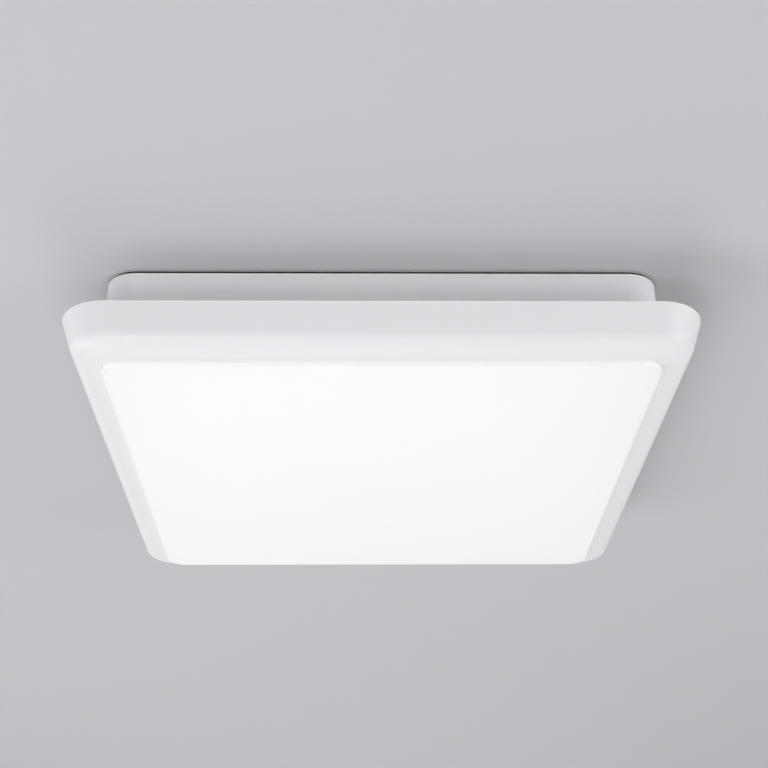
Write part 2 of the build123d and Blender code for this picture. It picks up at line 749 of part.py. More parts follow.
with BuildPart() as driver_cover:
    with BuildSketch(Plane.XY.offset(driver_face_z)):
        with Locations((driver_middle, 0)):
            RectangleRounded(driver_length, driver_width, driver_corner_round)
    extrude(amount=driver_rim_z - driver_face_z)
    fillet(driver_cover.faces().sort_by(Axis.Z)[0].edges(), driver_edge_round)
    with BuildSketch(Plane.XY.offset(driver_face_z + driver_wall)):
        with Locations((driver_middle, 0)):
            RectangleRounded(
                driver_inner_length, driver_inner_width, driver_corner_round - driver_wall
            )
    extrude(amount=driver_height, mode=Mode.SUBTRACT)
    # locating lip inside the base's walls
    with BuildSketch(Plane.XY.offset(driver_rim_z - lid_lip_reach)):
        with Locations((driver_middle, 0)):
            RectangleRounded(lid_length, lid_width, driver_corner_round - driver_wall - lid_play)
            Rectangle(
                lid_length - 2 * lid_lip_wall, lid_width - 2 * lid_lip_wall, mode=Mode.SUBTRACT
            )
    extrude(amount=2 * lid_lip_reach)
    # joins the lip to the cover's walls
    with BuildSketch(Plane.XY.offset(driver_rim_z - lid_lip_reach)):
        with Locations((driver_middle, 0)):
            Rectangle(driver_length - driver_wall, driver_width - driver_wall)
            Rectangle(
                lid_length - 2 * lid_lip_wall, lid_width - 2 * lid_lip_wall, mode=Mode.SUBTRACT
            )
    extrude(amount=lid_lip_reach)
    # vents
    with BuildSketch(Plane.XY.offset(driver_face_z)):
        with Locations((driver_middle - driver_length / 4, 0), (driver_middle + driver_length / 4, 0)):
            with GridLocations(vent_pitch, 0, vent_count, 1):
                SlotOverall(vent_length, vent_width, rotation=90)
    extrude(amount=driver_wall, mode=Mode.SUBTRACT)
    # notches for the wires, open towards the base
    notch_height = driver_rim_z - driver_wire_z + lid_lip_reach
    for wall_x, wire_ys, wire_radius in (
        (driver_left, driver_input_ys, mains_wire_radius),
        (driver_right, driver_output_ys, strip_wire_radius),
        (driver_right, [-y for y in driver_output_ys], strip_wire_radius),
    ):
        notch_width = 2 * (wire_radius + notch_play)
        with BuildSketch(Plane(origin=(wall_x, 0, driver_wire_z), x_dir=(0, 1, 0), z_dir=(1, 0, 0))):
            with Locations(*[(y, 0) for y in wire_ys]):
                Circle(notch_width / 2)
            with Locations(*[(y, notch_height / 2) for y in wire_ys]):
                Rectangle(notch_width, notch_height)
        extrude(amount=3 * driver_wall, both=True, mode=Mode.SUBTRACT)
driver_cover.part.label = "driver_cover"
export_step(driver_cover.part, "parts/driver_cover.step")

with BuildPart() as driver_board:
    with BuildSketch(Plane.XY.offset(driver_board_z)):
        with Locations((driver_middle, 0)):
            Rectangle(
                lid_length - 2 * (lid_lip_wall + board_edge_gap),
                lid_width - 2 * (lid_lip_wall + board_edge_gap),
            )
        with Locations(*post_places):
            Circle(board_hole_radius, mode=Mode.SUBTRACT)
    extrude(amount=driver_board_thickness)
driver_board.part.label = "driver_board"
export_step(driver_board.part, "parts/driver_board.step")

driver_output_x = driver_right - driver_wall - driver_connector_gap - wire_socket_depth / 2
with BuildPart() as driver_connectors:
    for start_x, grow, width, wire_ys, wire_radius in (
        (driver_face_in - wire_socket_depth / 2, 1, input_connector_width, driver_input_ys,
         mains_wire_radius),
        (driver_output_x + wire_socket_depth / 2, -1, output_connector_width,
         driver_output_ys + tuple(-y for y in driver_output_ys), strip_wire_radius),
    ):
        middle_y = sum(wire_ys) / len(wire_ys)
        with BuildSketch(Plane.XY.offset(driver_board_z)):
            with Locations((start_x + grow * driver_connector_length / 2, middle_y)):
                Rectangle(driver_connector_length, width)
        extrude(amount=-driver_connector_height)
        with BuildSketch(Plane(origin=(start_x, 0, driver_wire_z), x_dir=(0, 1, 0),
                               z_dir=(grow, 0, 0))):
            with Locations(*[(y, 0) for y in wire_ys]):
                Circle(wire_radius + wire_socket_play)
        extrude(amount=wire_socket_depth, mode=Mode.SUBTRACT)
driver_connectors.part.label = "driver_connectors"
export_step(driver_connectors.part, "parts/driver_connectors.step")

transformer_x = driver_middle + transformer_offset
core_leg_spread = bobbin_length - core_leg
with BuildPart() as driver_transformer:
    # bobbin's lower plate with the pins' ledges, winding, upper plate
    with BuildSketch(Plane.XY.offset(driver_board_z)):
        with Locations((transformer_x, 0)):
            Rectangle(bobbin_width, bobbin_length)
            Rectangle(bobbin_length, bobbin_width)
    extrude(amount=-bobbin_plate)
    with BuildSketch(Plane.XY.offset(driver_board_z - bobbin_plate)):
        with Locations((transformer_x, 0)):
            Circle(winding_radius)
    extrude(amount=-winding_height)
    with BuildSketch(Plane.XY.offset(driver_board_z - bobbin_plate - winding_height)):
        with Locations((transformer_x, 0)):
            Rectangle(bobbin_width, bobbin_length)
    extrude(amount=-bobbin_plate)
    # core's outer legs
    with BuildSketch(Plane.XY.offset(driver_board_z)):
        with Locations((transformer_x, 0)):
            with GridLocations(core_leg_spread, 0, 2, 1):
                Rectangle(core_leg, core_leg_width)
    extrude(amount=-winding_height - 2 * bobbin_plate)
driver_transformer.part.label = "driver_transformer"
export_step(driver_transformer.part, "parts/driver_transformer.step")

with BuildPart() as driver_capacitor:
    with BuildSketch(Plane.XY.offset(driver_board_z)):
        with Locations((driver_middle - filter_offset, capacitor_y)):
            Circle(capacitor_radius)
    extrude(amount=-capacitor_height)
    fillet(driver_capacitor.faces().sort_by(Axis.Z)[0].edges(), capacitor_edge)
driver_capacitor.part.label = "driver_capacitor"
export_step(driver_capacitor.part, "parts/driver_capacitor.step")

with BuildPart() as driver_choke:
    with BuildSketch(Plane.XY.offset(driver_board_z)):
        with Locations((driver_middle - filter_offset, choke_y)):
            Circle(choke_radius)
            Circle(choke_bore_radius, mode=Mode.SUBTRACT)
    extrude(amount=-choke_height)
    chamfer(driver_choke.edges().filter_by(GeomType.CIRCLE), choke_edge)
driver_choke.part.label = "driver_choke"
export_step(driver_choke.part, "parts/driver_choke.step")

ear_screws = [
    pan_head_screw(
        (x, y, driver_floor_z),
        small_shank_radius,
        driver_wall + through_screw_length,
        small_head_radius,
        small_head_height,
    )
    for x, y in driver_screw_places
]
driver_screws = Part(children=ear_screws, label="driver_screws")
export_step(driver_screws, "parts/driver_screws.step")

# ---------------------------------------------------------------- light strips
lens_crown = (lens_radius**2 + (lens_height - lens_edge) ** 2) / (2 * (lens_height - lens_edge))

for number, strip_y in enumerate(strip_ys, start=1):
    with BuildPart() as led_board:
        with BuildSketch(Plane.XY.offset(strip_face_z)):
            with Locations((0, strip_y)):
                RectangleRounded(strip_length, strip_width, strip_corner_round)
            with Locations(*[(x, strip_y) for x in strip_screw_xs]):
                Circle(small_shank_radius + screw_play, mode=Mode.SUBTRACT)
            # half-round notches at both ends
            with Locations((-strip_length / 2, strip_y), (strip_length / 2, strip_y)):
                Circle(strip_notch_radius, mode=Mode.SUBTRACT)
        extrude(amount=strip_thickness)
    led_board.part.label = f"led_board_{number}"
    export_step(led_board.part, f"parts/led_board_{number}.step")

    with BuildPart() as led_chips:
        with BuildSketch(Plane.XY.offset(strip_face_z)):
            with Locations(*[(x, strip_y) for x in strip_xs]):
                Rectangle(chip_length, chip_width)
        extrude(amount=-chip_height)
    led_chips.part.label = f"led_chips_{number}"
    export_step(led_chips.part, f"parts/led_chips_{number}.step")

    with BuildPart() as first_lens:
        with BuildSketch(Plane(origin=(0, strip_y, strip_face_z), x_dir=(1, 0, 0),
                               z_dir=(0, -1, 0))):
            with BuildLine():
                Polyline(
                    (0, -lens_hollow_depth),
                    (lens_hollow_radius * 0.6, -lens_hollow_depth),
                    (lens_hollow_radius, 0),
                    (lens_radius, 0),
                    (lens_radius, -lens_edge),
                )
                RadiusArc((lens_radius, -lens_edge), (0, -lens_height), lens_crown)
                Line((0, -lens_height), (0, -lens_hollow_depth))
            make_face()
        revolve(axis=Axis(origin=(0, strip_y, 0), direction=(0, 0, 1)))
    lenses = [first_lens.part.moved(Location((x, 0, 0))) for x in strip_xs]
    led_lenses = Part(children=lenses, label=f"led_lenses_{number}")
    export_step(led_lenses, f"parts/led_lenses_{number}.step")

with BuildPart() as board_connectors:
    for strip_y in strip_ys:
        with BuildSketch(Plane.XY.offset(strip_face_z)):
            with Locations((connector_x, strip_y)):
                Rectangle(connector_length, connector_width)
        extrude(amount=-connector_height)
        connector_mouth = Plane(
            origin=(connector_x + connector_length / 2, strip_y, strip_face_z - connector_height / 2),
            x_dir=(0, 1, 0),
            z_dir=(1, 0, 0),
        )
        with BuildSketch(connector_mouth):
            with GridLocations(port_pitch, 0, connector_ports, 1):
                Circle(strip_wire_radius + wire_socket_play)
        extrude(amount=-wire_socket_depth, mode=Mode.SUBTRACT)
board_connectors.part.label = "board_connectors"
export_step(board_connectors.part, "parts/board_connectors.step")

strip_screws = [
    pan_head_screw(
        (x, y, strip_face_z),
        small_shank_radius,
        strip_thickness + through_screw_length,
        small_head_radius,
        small_head_height,
    )
    for x, y in strip_screw_places
]
board_screws = Part(children=strip_screws, label="board_screws")
export_step(board_screws, "parts/board_screws.step")

# ---------------------------------------------------------------- wires to and between the strips
wire_in_x = connector_x + connector_length / 2 - wire_engagement
strip_wire_z = strip_face_z - connector_height / 2
inner_lane_x = strip_length / 2 + lane_gap
outer_lane_x = inner_lane_x + lane_pitch


def feed_route(lane_x, driver_y, port_y, side):
    """From the driver's end, along a lane beside the strips, back into a strip's connector."""
    return [
        (driver_output_x, side * driver_y, driver_wire_z),
        (lane_x, side * driver_y, driver_wire_z),
        (lane_x, side * port_y, strip_wire_z),
        (wire_in_x, side * port_y, strip_wire_z),
    ]


def link_route(lane_x, from_y, to_y, side):
    """From one strip's connector, along a lane, into the next strip's connector."""
    return [
        (wire_in_x, side * from_y, strip_wire_z),
        (lane_x, side * from_y, strip_wire_z),
        (lane_x, side * to_y, strip_wire_z),
        (wire_in_x, side * to_y, strip_wire_z),
    ]


for colour, lane_x, driver_y, port_step in (
    ("red", inner_lane_x, driver_output_ys[1], 1.5),
    ("black", outer_lane_x, driver_output_ys[0], 0.5),
):
    port_offset = port_step * port_pitch
    feeds = [
        insulated_wire(
            feed_route(lane_x, driver_y, inner_strip_y - port_offset, side),
            strip_wire_radius,
        )
        for side in (1, -1)
    ]
    feed_wires = Part(children=feeds, label=f"feed_wires_{colour}")
    export_step(feed_wires, f"parts/feed_wires_{colour}.step")
    links = [
        insulated_wire(
            link_route(lane_x, inner_strip_y + port_offset, outer_strip_y - port_offset, side),
            strip_wire_radius,
        )
        for side in (1, -1)
    ]
    link_wires = Part(children=links, label=f"link_wires_{colour}")
    export_step(link_wires, f"parts/link_wires_{colour}.step")

wire_clip_y = (outer_strip_y + inner_strip_y) / 2
wire_clip_x = (inner_lane_x + outer_lane_x) / 2
wire_clip_face_z = strip_wire_z - 2 * strip_wire_radius
with BuildPart() as wire_clips:
    for clip_y in (wire_clip_y, -wire_clip_y):
        with BuildSketch(Plane.XY.offset(pan_floor_z)):
            with Locations((wire_clip_x, clip_y)):
                RectangleRounded(
                    wire_clip_foot_length, wire_clip_foot_width, wire_clip_foot_width / 4
                )
        extrude(amount=-wire_clip_foot_thickness)
        with BuildSketch(Plane.XY.offset(pan_floor_z)):
            with Locations((wire_clip_x, clip_y)):
                Rectangle(wire_clip_length, wire_clip_width)
        extrude(amount=wire_clip_face_z - pan_floor_z)
        # round seats for the wires, and the mouths they snap in through
        with BuildSketch(Plane.XZ.offset(-clip_y)):
            with Locations((wire_clip_x, strip_wire_z)):
                with GridLocations(lane_pitch, 0, 2, 1):
                    Circle(strip_wire_radius + wire_clip_play)
            with Locations((wire_clip_x, wire_clip_face_z)):
                with GridLocations(lane_pitch, 0, 2, 1):
                    Rectangle(2 * wire_clip_mouth * strip_wire_radius, 4 * strip_wire_radius)
        extrude(amount=wire_clip_width, both=True, mode=Mode.SUBTRACT)
wire_clips.part.label = "wire_clips"
export_step(wire_clips.part, "parts/wire_clips.step")

# ---------------------------------------------------------------- cover springs
spring_top_z = flange_bottom_z
bulge_half = shelf_half + spring_bite - spring_sheet
foot_start = neck_half - spring_foot

for number, turn in enumerate(range(0, 360, 90), start=1):
    with BuildPart() as spring_clip:
        with BuildSketch(section_plane(turn)):
            with BuildLine() as spring_line:
                FilletPolyline(
                    (foot_start, spring_top_z - spring_sheet / 2),
                    (neck_half, spring_top_z - spring_sheet / 2),
                    (neck_half + spring_sheet / 3, shelf_bottom_z + spring_sheet),
                    (bulge_half, shelf_bottom_z - spring_bulge_drop),
                    (neck_half - spring_tip_setback, shelf_bottom_z - spring_tip_drop),
                    radius=(1.0, 0.8, 1.4),
                )
            trace(line_width=spring_sheet)
        extrude(amount=spring_width / 2, both=True)
        with BuildSketch(Plane.XY.offset(spring_top_z)):
            with Locations(*rivet_places[number - 1]):
                Circle(rivet_radius)
        extrude(amount=-2 * spring_sheet, mode=Mode.SUBTRACT)
    spring_clip.part.label = f"spring_clip_{number}"
    export_step(spring_clip.part, f"parts/spring_clip_{number}.step")

rivet_tail_radius = rivet_tail_share * rivet_head_radius
rivet_foot_z = spring_top_z - spring_sheet
with BuildPart() as first_rivet:
    with BuildSketch(Plane.XZ):
        with BuildLine():
            Polyline(
                (0, rivet_foot_z - rivet_head_height),
                (rivet_head_radius / 2, rivet_foot_z - rivet_head_height),
                (rivet_head_radius, rivet_foot_z - rivet_head_height / 3),
                (rivet_head_radius, rivet_foot_z),
                (rivet_radius, rivet_foot_z),
                (rivet_radius, flange_top_z),
                (rivet_tail_radius, flange_top_z),
                (rivet_tail_radius, flange_top_z + rivet_head_height / 3),
                (rivet_tail_radius / 2, flange_top_z + rivet_head_height),
                (0, flange_top_z + rivet_head_height),
                close=True,
            )
        make_face()
    revolve(axis=Axis.Z)
rivets = [first_rivet.part.moved(Location(place)) for pair in rivet_places for place in pair]
clip_rivets = Part(children=rivets, label="clip_rivets")
export_step(clip_rivets, "parts/clip_rivets.step")

# ---------------------------------------------------------------- cover: rim and bezel
opening_width = panel_width + 2 * panel_clearance
opening_corner = panel_corner_radius + panel_clearance
loft_end_half = panel_width / 2 - diffuser_lip  # inside the opening, for a clean cut
lip_corner = panel_corner_radius + diffuser_lip
land_half = lip_half + land_margin
clip_spread = panel_width / 2 - clip_corner_gap
clip_hole_radius = clip_shank_radius + screw_play
clip_hole_z = bezel_z(boss_half + clip_hole_radius) + clip_hole_floor
gusset_span = rim_width - 2 * rim_corner_radius - 2 * gusset_end_gap
gusset_pitch = gusset_span / (gusset_count - 1)
boss_places = [
    Vector(boss_half, along).rotate(Axis.Z, turn)
    for turn in range(0, 360, 90)
    for along in (-clip_spread, clip_spread)
]
gusset_places = [gusset_pitch * (number - (gusset_count - 1) / 2) for number in range(gusset_count)]


def rim_solid(inset):
    """The rim and bezel as a solid block, with its outside moved `inset` into the wall."""
    top_half = side_half(rim_top_z, inset)
    bend_half, bend_z = knee(inset)
    with BuildPart() as block:
        for half, z, radius in (
            (top_half, rim_top_z, rim_corner(top_half)),
            (bend_half, bend_z, rim_corner(bend_half)),
            (loft_end_half, bezel_z(loft_end_half, inset), bezel_corner(loft_end_half)),
        ):
            with BuildSketch(Plane.XY.offset(z)):
                RectangleRounded(2 * half, 2 * half, radius)
        loft(ruled=True)
        bend_edges = block.edges().filter_by_position(Axis.Z, bend_z - 0.01, bend_z + 0.01)
        fillet(bend_edges, bezel_fillet - inset)
    return block.part


rim_outside = rim_solid(0)
rim_hollow = rim_solid(rim_wall)

with BuildPart() as bezel_frame:
    add(rim_outside)
    add(rim_hollow, mode=Mode.SUBTRACT)
    fillet(
        bezel_frame.edges().filter_by_position(Axis.Z, rim_top_z - 0.01, rim_top_z + 0.01),
        rim_edge_round,
    )
    # shelf that bears on the pan's flange
    shelf_root_half = side_half(shelf_bottom_z, rim_wall / 2)
    with BuildSketch(Plane.XY.offset(shelf_bottom_z)):
        RectangleRounded(2 * shelf_root_half, 2 * shelf_root_half, rim_corner(shelf_root_half))
        RectangleRounded(
            2 * shelf_half, 2 * shelf_half, rim_corner(shelf_half), mode=Mode.SUBTRACT
        )
    extrude(amount=shelf_thickness)
    # gussets between the shelf and the side
    for turn in range(0, 360, 90):
        for along in gusset_places:
            if abs(along) < spring_width / 2 + gusset_thickness:
                continue
            with BuildSketch(section_plane(turn, along)):
                Polygon(
                    (shelf_half + 0.5, shelf_bottom_z + 0.5),
                    (side_half(shelf_bottom_z, rim_wall / 2), shelf_bottom_z + 0.5),
                    (side_half(shelf_bottom_z - gusset_height, rim_wall / 2),
                     shelf_bottom_z - gusset_height),
                    align=None,
                )
            extrude(amount=gusset_thickness / 2, both=True)
    # bosses for the diffuser's clips
    with BuildSketch(Plane.XY.offset(clip_bottom_z)):
        with Locations(*boss_places):
            Circle(boss_radius)
    extrude(amount=bezel_z(boss_half, rim_wall / 2) - clip_bottom_z)
    with BuildSketch(Plane.XY.offset(clip_bottom_z)):
        with Locations(*boss_places):
            Circle(clip_hole_radius)
    extrude(amount=clip_hole_z - clip_bottom_z, mode=Mode.SUBTRACT)
    # flat seat of the diffuser's lip, and the opening for the panel
    with BuildSketch(Plane.XY.offset(land_z)):
        RectangleRounded(2 * land_half, 2 * land_half, lip_corner + land_margin)
    extrude(amount=lip_top_z - land_z, mode=Mode.SUBTRACT)
    with BuildSketch(Plane.XY.offset(panel_face_z)):
        RectangleRounded(opening_width, opening_width, opening_corner)
    extrude(amount=rim_top_z - panel_face_z, mode=Mode.SUBTRACT)
bezel_frame.part.label = "bezel_frame"
export_step(bezel_frame.part, "parts/bezel_frame.step")

# ---------------------------------------------------------------- foam between the pan and the cover
seal_inner_half = shelf_half + seal_margin
seal_outer_half = flange_half - seal_margin

with BuildPart() as cover_seal:
    with BuildSketch(Plane.XY.offset(shelf_top_z)):
        RectangleRounded(2 * seal_outer_half, 2 * seal_outer_half, rim_corner(seal_outer_half))
        RectangleRounded(
            2 * seal_inner_half,
            2 * seal_inner_half,
            rim_corner(seal_inner_half),
            mode=Mode.SUBTRACT,
        )
    extrude(amount=seal_thickness)
cover_seal.part.label = "cover_seal"
export_step(cover_seal.part, "parts/cover_seal.step")

# ---------------------------------------------------------------- opal diffuser
diffuser_inner_width = panel_width - 2 * diffuser_wall

with BuildPart() as diffuser:
    with BuildSketch(Plane.XY.offset(panel_face_z)):
        RectangleRounded(panel_width, panel_width, panel_corner_radius)
    extrude(amount=lip_top_z - panel_face_z)
    fillet(diffuser.faces().sort_by(Axis.Z)[0].edges(), diffuser_edge_round)
    with BuildSketch(Plane.XY.offset(lip_bottom_z)):
        RectangleRounded(2 * lip_half, 2 * lip_half, lip_corner)
    extrude(amount=diffuser_wall)
    with BuildSketch(Plane.XY.offset(panel_face_z + diffuser_wall)):
        RectangleRounded(
            diffuser_inner_width, diffuser_inner_width, panel_corner_radius - diffuser_wall
        )
    extrude(amount=lip_top_z - panel_face_z, mode=Mode.SUBTRACT)
diffuser.part.label = "diffuser"
export_step(diffuser.part, "parts/diffuser.step")

foam_outer_half = lip_half - diffuser_seal_inset
foam_inner_half = opening_width / 2 + diffuser_seal_inset
with BuildPart() as diffuser_seal:
    with BuildSketch(Plane.XY.offset(land_z)):
        RectangleRounded(2 * foam_outer_half, 2 * foam_outer_half, lip_corner - diffuser_seal_inset)
        RectangleRounded(
            2 * foam_inner_half,
            2 * foam_inner_half,
            opening_corner + diffuser_seal_inset,
            mode=Mode.SUBTRACT,
        )
    extrude(amount=diffuser_seal_thickness)
diffuser_seal.part.label = "diffuser_seal"
export_step(diffuser_seal.part, "parts/diffuser_seal.step")

# ---------------------------------------------------------------- clips over the diffuser's lip
clip_inner_half = lip_half - clip_grip
clips = []
clip_screws = []
for turn in range(0, 360, 90):
    for along in (-clip_spread, clip_spread):
        with BuildPart() as clip:
            clip_plane = Plane(
                origin=Vector((clip_inner_half + clip_outer_half) / 2, along, clip_bottom_z).rotate(
                    Axis.Z, turn
                ),
                x_dir=Vector(1, 0, 0).rotate(Axis.Z, turn),
                z_dir=(0, 0, 1),
            )
            with BuildSketch(clip_plane):
                RectangleRounded(
                    clip_outer_half - clip_inner_half, clip_width, clip_corner_round
                )
                with Locations((boss_half - (clip_inner_half + clip_outer_half) / 2, 0)):
                    Circle(clip_hole_radius, mode=Mode.SUBTRACT)
            extrude(amount=clip_sheet)
        clips.append(clip.part)
        place = Vector(boss_half, along).rotate(Axis.Z, turn)
        with BuildPart() as clip_screw:
            with BuildSketch(Plane.XY.offset(clip_bottom_z + clip_sheet)):
                with Locations(place):
                    Circle(clip_head_radius)
            extrude(amount=clip_head_height)
            chamfer(clip_screw.faces().sort_by(Axis.Z)[-1].edges(), clip_head_edge)
            with BuildSketch(Plane.XY.offset(clip_bottom_z + clip_sheet)):
                with Locations(place):
                    Circle(clip_shank_radius)
            extrude(amount=clip_hole_z + clip_shank_end_gap - clip_bottom_z - clip_sheet)
        clip_screws.append(clip_screw.part)
diffuser_clips = Part(children=clips, label="diffuser_clips")
export_step(diffuser_clips, "parts/diffuser_clips.step")
diffuser_clip_screws = Part(children=clip_screws, label="diffuser_clip_screws")
export_step(diffuser_clip_screws, "parts/diffuser_clip_screws.step")
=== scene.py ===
import math

import bmesh
import bpy
from mathutils import Matrix, Vector


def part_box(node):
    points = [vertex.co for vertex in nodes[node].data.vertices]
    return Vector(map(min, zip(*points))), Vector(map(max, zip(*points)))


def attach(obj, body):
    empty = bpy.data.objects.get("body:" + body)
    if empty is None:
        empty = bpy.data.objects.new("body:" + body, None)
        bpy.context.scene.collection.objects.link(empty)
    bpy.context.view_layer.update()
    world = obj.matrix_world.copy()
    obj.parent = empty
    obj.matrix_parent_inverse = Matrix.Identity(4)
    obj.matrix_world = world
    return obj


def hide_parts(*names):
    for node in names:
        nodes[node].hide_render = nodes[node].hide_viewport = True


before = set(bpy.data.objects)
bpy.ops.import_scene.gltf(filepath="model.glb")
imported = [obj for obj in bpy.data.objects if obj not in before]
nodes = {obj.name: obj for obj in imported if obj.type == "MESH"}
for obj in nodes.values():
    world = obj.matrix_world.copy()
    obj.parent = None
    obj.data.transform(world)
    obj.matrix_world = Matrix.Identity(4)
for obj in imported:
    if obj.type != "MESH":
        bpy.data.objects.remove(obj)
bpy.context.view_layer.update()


# ------------------------------------------------------------------ camera
# The photograph is taken from below and in front, with the lamp a little right of the picture's
# middle. The viewpoint was solved from the corners of the rim, the panel and the base.
camera_place = Vector((-0.01348, -0.89475, -0.46478))
camera_yaw = 0.0193  # radians, to the right
camera_pitch = 0.4897  # upwards
camera_roll = -0.0086
camera_lens = 62.84  # millimetres
camera_sensor = 36.0

look = Vector((
    math.sin(camera_yaw) * math.cos(camera_pitch),
    math.cos(camera_yaw) * math.cos(camera_pitch),
    math.sin(camera_pitch),
))
level_right = Vector((math.cos(camera_yaw), -math.sin(camera_yaw), 0))
level_up = level_right.cross(look)
right = math.cos(camera_roll) * level_right + math.sin(camera_roll) * level_up
up = math.cos(camera_roll) * level_up - math.sin(camera_roll) * level_right
camera_data = bpy.data.cameras.new("photo_camera")
camera_data.lens = camera_lens
camera_data.sensor_width = camera_sensor
camera = bpy.data.objects.new("photo_camera", camera_data)
camera.matrix_world = Matrix.Translation(camera_place) @ Matrix(
    (right, up, -look)
).transposed().to_4x4()
bpy.context.scene.collection.objects.link(camera)
bpy.context.scene.camera = camera
bpy.context.scene.view_settings.view_transform = "Standard"


# ------------------------------------------------------------------ ceiling, floor and light
# A flat painted ceiling carries the lamp, over a pale floor. The ceiling is open above the lamp's
# back and is seen only from below, so that views from above show the back of the lamp, lit.
def add_node(tree, kind, inputs=None, **settings):
    """A new shader node; each input is a number, a colour or another node's output."""
    made = tree.nodes.new(kind)
    for name, value in settings.items():
        setattr(made, name, value)
    for name, value in (inputs or {}).items():
        if isinstance(value, bpy.types.NodeSocket):
            tree.links.new(value, made.inputs[name])
        else:
            made.inputs[name].default_value = value
    return made


def new_material(name):
    """An empty material; returns it with its node tree and the tree's output."""
    material = bpy.data.materials.new(name)
    material.use_nodes = True
    tree = material.node_tree
    tree.nodes.clear()
    return material, tree, tree.nodes.new("ShaderNodeOutputMaterial")


def mesh_object(name, points, faces, material):
    """An object of one material from its points and faces."""
    mesh = bpy.data.meshes.new(name)
    mesh.from_pydata(points, [], faces)
    mesh.materials.append(material)
    made = bpy.data.objects.new(name, mesh)
    bpy.context.scene.collection.objects.link(made)
    return made


ceiling_half = 1.7
ceiling_hole_inset = 0.0004  # inside the edge of the foam seal on the lamp's back
seal_corner_radius = 0.018
arc_steps = 12
ceiling_grey = (0.582, 0.578, 0.588, 1)
roller_stipple = 260.0  # fine grain of rolled paint, over the ceiling's whole width
roller_height = 0.0003
floor_half = 14.0
floor_depth = 2.4
floor_pale = (0.86, 0.86, 0.86, 1)
floor_mottled = (0.84, 0.84, 0.84, 1)
floor_glow = 0.85  # share of the backdrop's tone in what the camera sees of the floor
backdrop_pale = (0.80, 0.80, 0.81, 1)
light_tint = (1.0, 0.975, 1.01)
ambient_strength = 0.42

ceiling_paint, tree, output = new_material("ceiling_paint")
roller = add_node(tree, "ShaderNodeTexNoise", {"Scale": roller_stipple, "Detail": 3.0})
roller_bump = add_node(tree, "ShaderNodeBump", {
    "Strength": 0.12, "Distance": roller_height, "Height": roller.outputs["Fac"],
})
paint = add_node(tree, "ShaderNodeBsdfPrincipled", {
    "Base Color": ceiling_grey, "Roughness": 0.85, "Normal": roller_bump.outputs["Normal"],
})
behind = add_node(tree, "ShaderNodeNewGeometry")
nothing = add_node(tree, "ShaderNodeBsdfTransparent")
seen = add_node(tree, "ShaderNodeMixShader", {
    0: behind.outputs["Backfacing"], 1: paint.outputs[0], 2: nothing.outputs[0],
})
tree.links.new(seen.outputs[0], output.inputs["Surface"])
hole_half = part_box("ceiling_gasket")[1][0] - ceiling_hole_inset
turn_centre = hole_half + ceiling_hole_inset - seal_corner_radius
turn_radius = hole_half - turn_centre
ceiling_points = []
ceiling_faces = []
corner_size = arc_steps + 2  # the ceiling's own corner, then the points of the hole's round corner
for quarter in range(4):
    turn = Matrix.Rotation(-quarter * math.pi / 2, 3, "Z")
    ceiling_points.append(turn @ Vector((-ceiling_half, -ceiling_half, 0)))
    for step in range(arc_steps + 1):
        angle = 1.5 * math.pi - step / arc_steps * math.pi / 2
        ceiling_points.append(turn @ Vector((
            -turn_centre + turn_radius * math.cos(angle),
            -turn_centre + turn_radius * math.sin(angle),
            0,
        )))
for quarter in range(4):
    first = quarter * corner_size
    following = (quarter + 1) % 4 * corner_size
    for step in range(1, arc_steps + 1):
        ceiling_faces.append((first, first + step + 1, first + step))
    ceiling_faces.append((first, following, following + 1, first + arc_steps + 1))
ceiling = mesh_object("ceiling", ceiling_points, ceiling_faces, ceiling_paint)

floor_paint, tree, output = new_material("floor_paint")
mottle = add_node(tree, "ShaderNodeTexNoise", {"Scale": 1.5, "Detail": 2.0})
floor_tone = add_node(tree, "ShaderNodeMix", {
    0: mottle.outputs["Fac"], 6: floor_pale, 7: floor_mottled,
}, data_type="RGBA")
floor_shader = add_node(tree, "ShaderNodeBsdfPrincipled", {
    "Base Color": floor_tone.outputs[2], "Roughness": 0.9,
})
floor_pale_seen = add_node(tree, "ShaderNodeEmission", {"Color": backdrop_pale, "Strength": 1.0})
floor_path = add_node(tree, "ShaderNodeLightPath")
floor_share = add_node(tree, "ShaderNodeMath", {
    0: floor_path.outputs["Is Camera Ray"], 1: floor_glow,
}, operation="MULTIPLY")
floor_look = add_node(tree, "ShaderNodeMixShader", {
    0: floor_share.outputs[0], 1: floor_shader.outputs[0], 2: floor_pale_seen.outputs[0],
})
tree.links.new(floor_look.outputs[0], output.inputs["Surface"])
square_corners = ((-1, -1), (1, -1), (1, 1), (-1, 1))
floor_points = [(x * floor_half, y * floor_half, -floor_depth) for x, y in square_corners]
floor = mesh_object("floor", floor_points, [(0, 1, 2, 3)], floor_paint)

world = bpy.data.worlds.new("studio")
world.use_nodes = True
tree = world.node_tree
tree.nodes.clear()
path = add_node(tree, "ShaderNodeLightPath")
ambient = add_node(tree, "ShaderNodeBackground", {
    "Color": (*light_tint, 1), "Strength": ambient_strength,
})
backdrop = add_node(tree, "ShaderNodeBackground", {"Color": backdrop_pale, "Strength": 1.0})
mirrored = add_node(tree, "ShaderNodeMath", {
    0: path.outputs["Is Glossy Ray"], 1: path.outputs["Is Transmission Ray"],
}, operation="MAXIMUM")
shown = add_node(tree, "ShaderNodeMath", {
    0: path.outputs["Is Camera Ray"], 1: mirrored.outputs[0],
}, operation="MAXIMUM")
sky = add_node(tree, "ShaderNodeMixShader", {
    0: shown.outputs[0], 1: ambient.outputs[0], 2: backdrop.outputs[0],
})
add_node(tree, "ShaderNodeOutputWorld", {"Surface": sky.outputs[0]})
bpy.context.scene.world = world


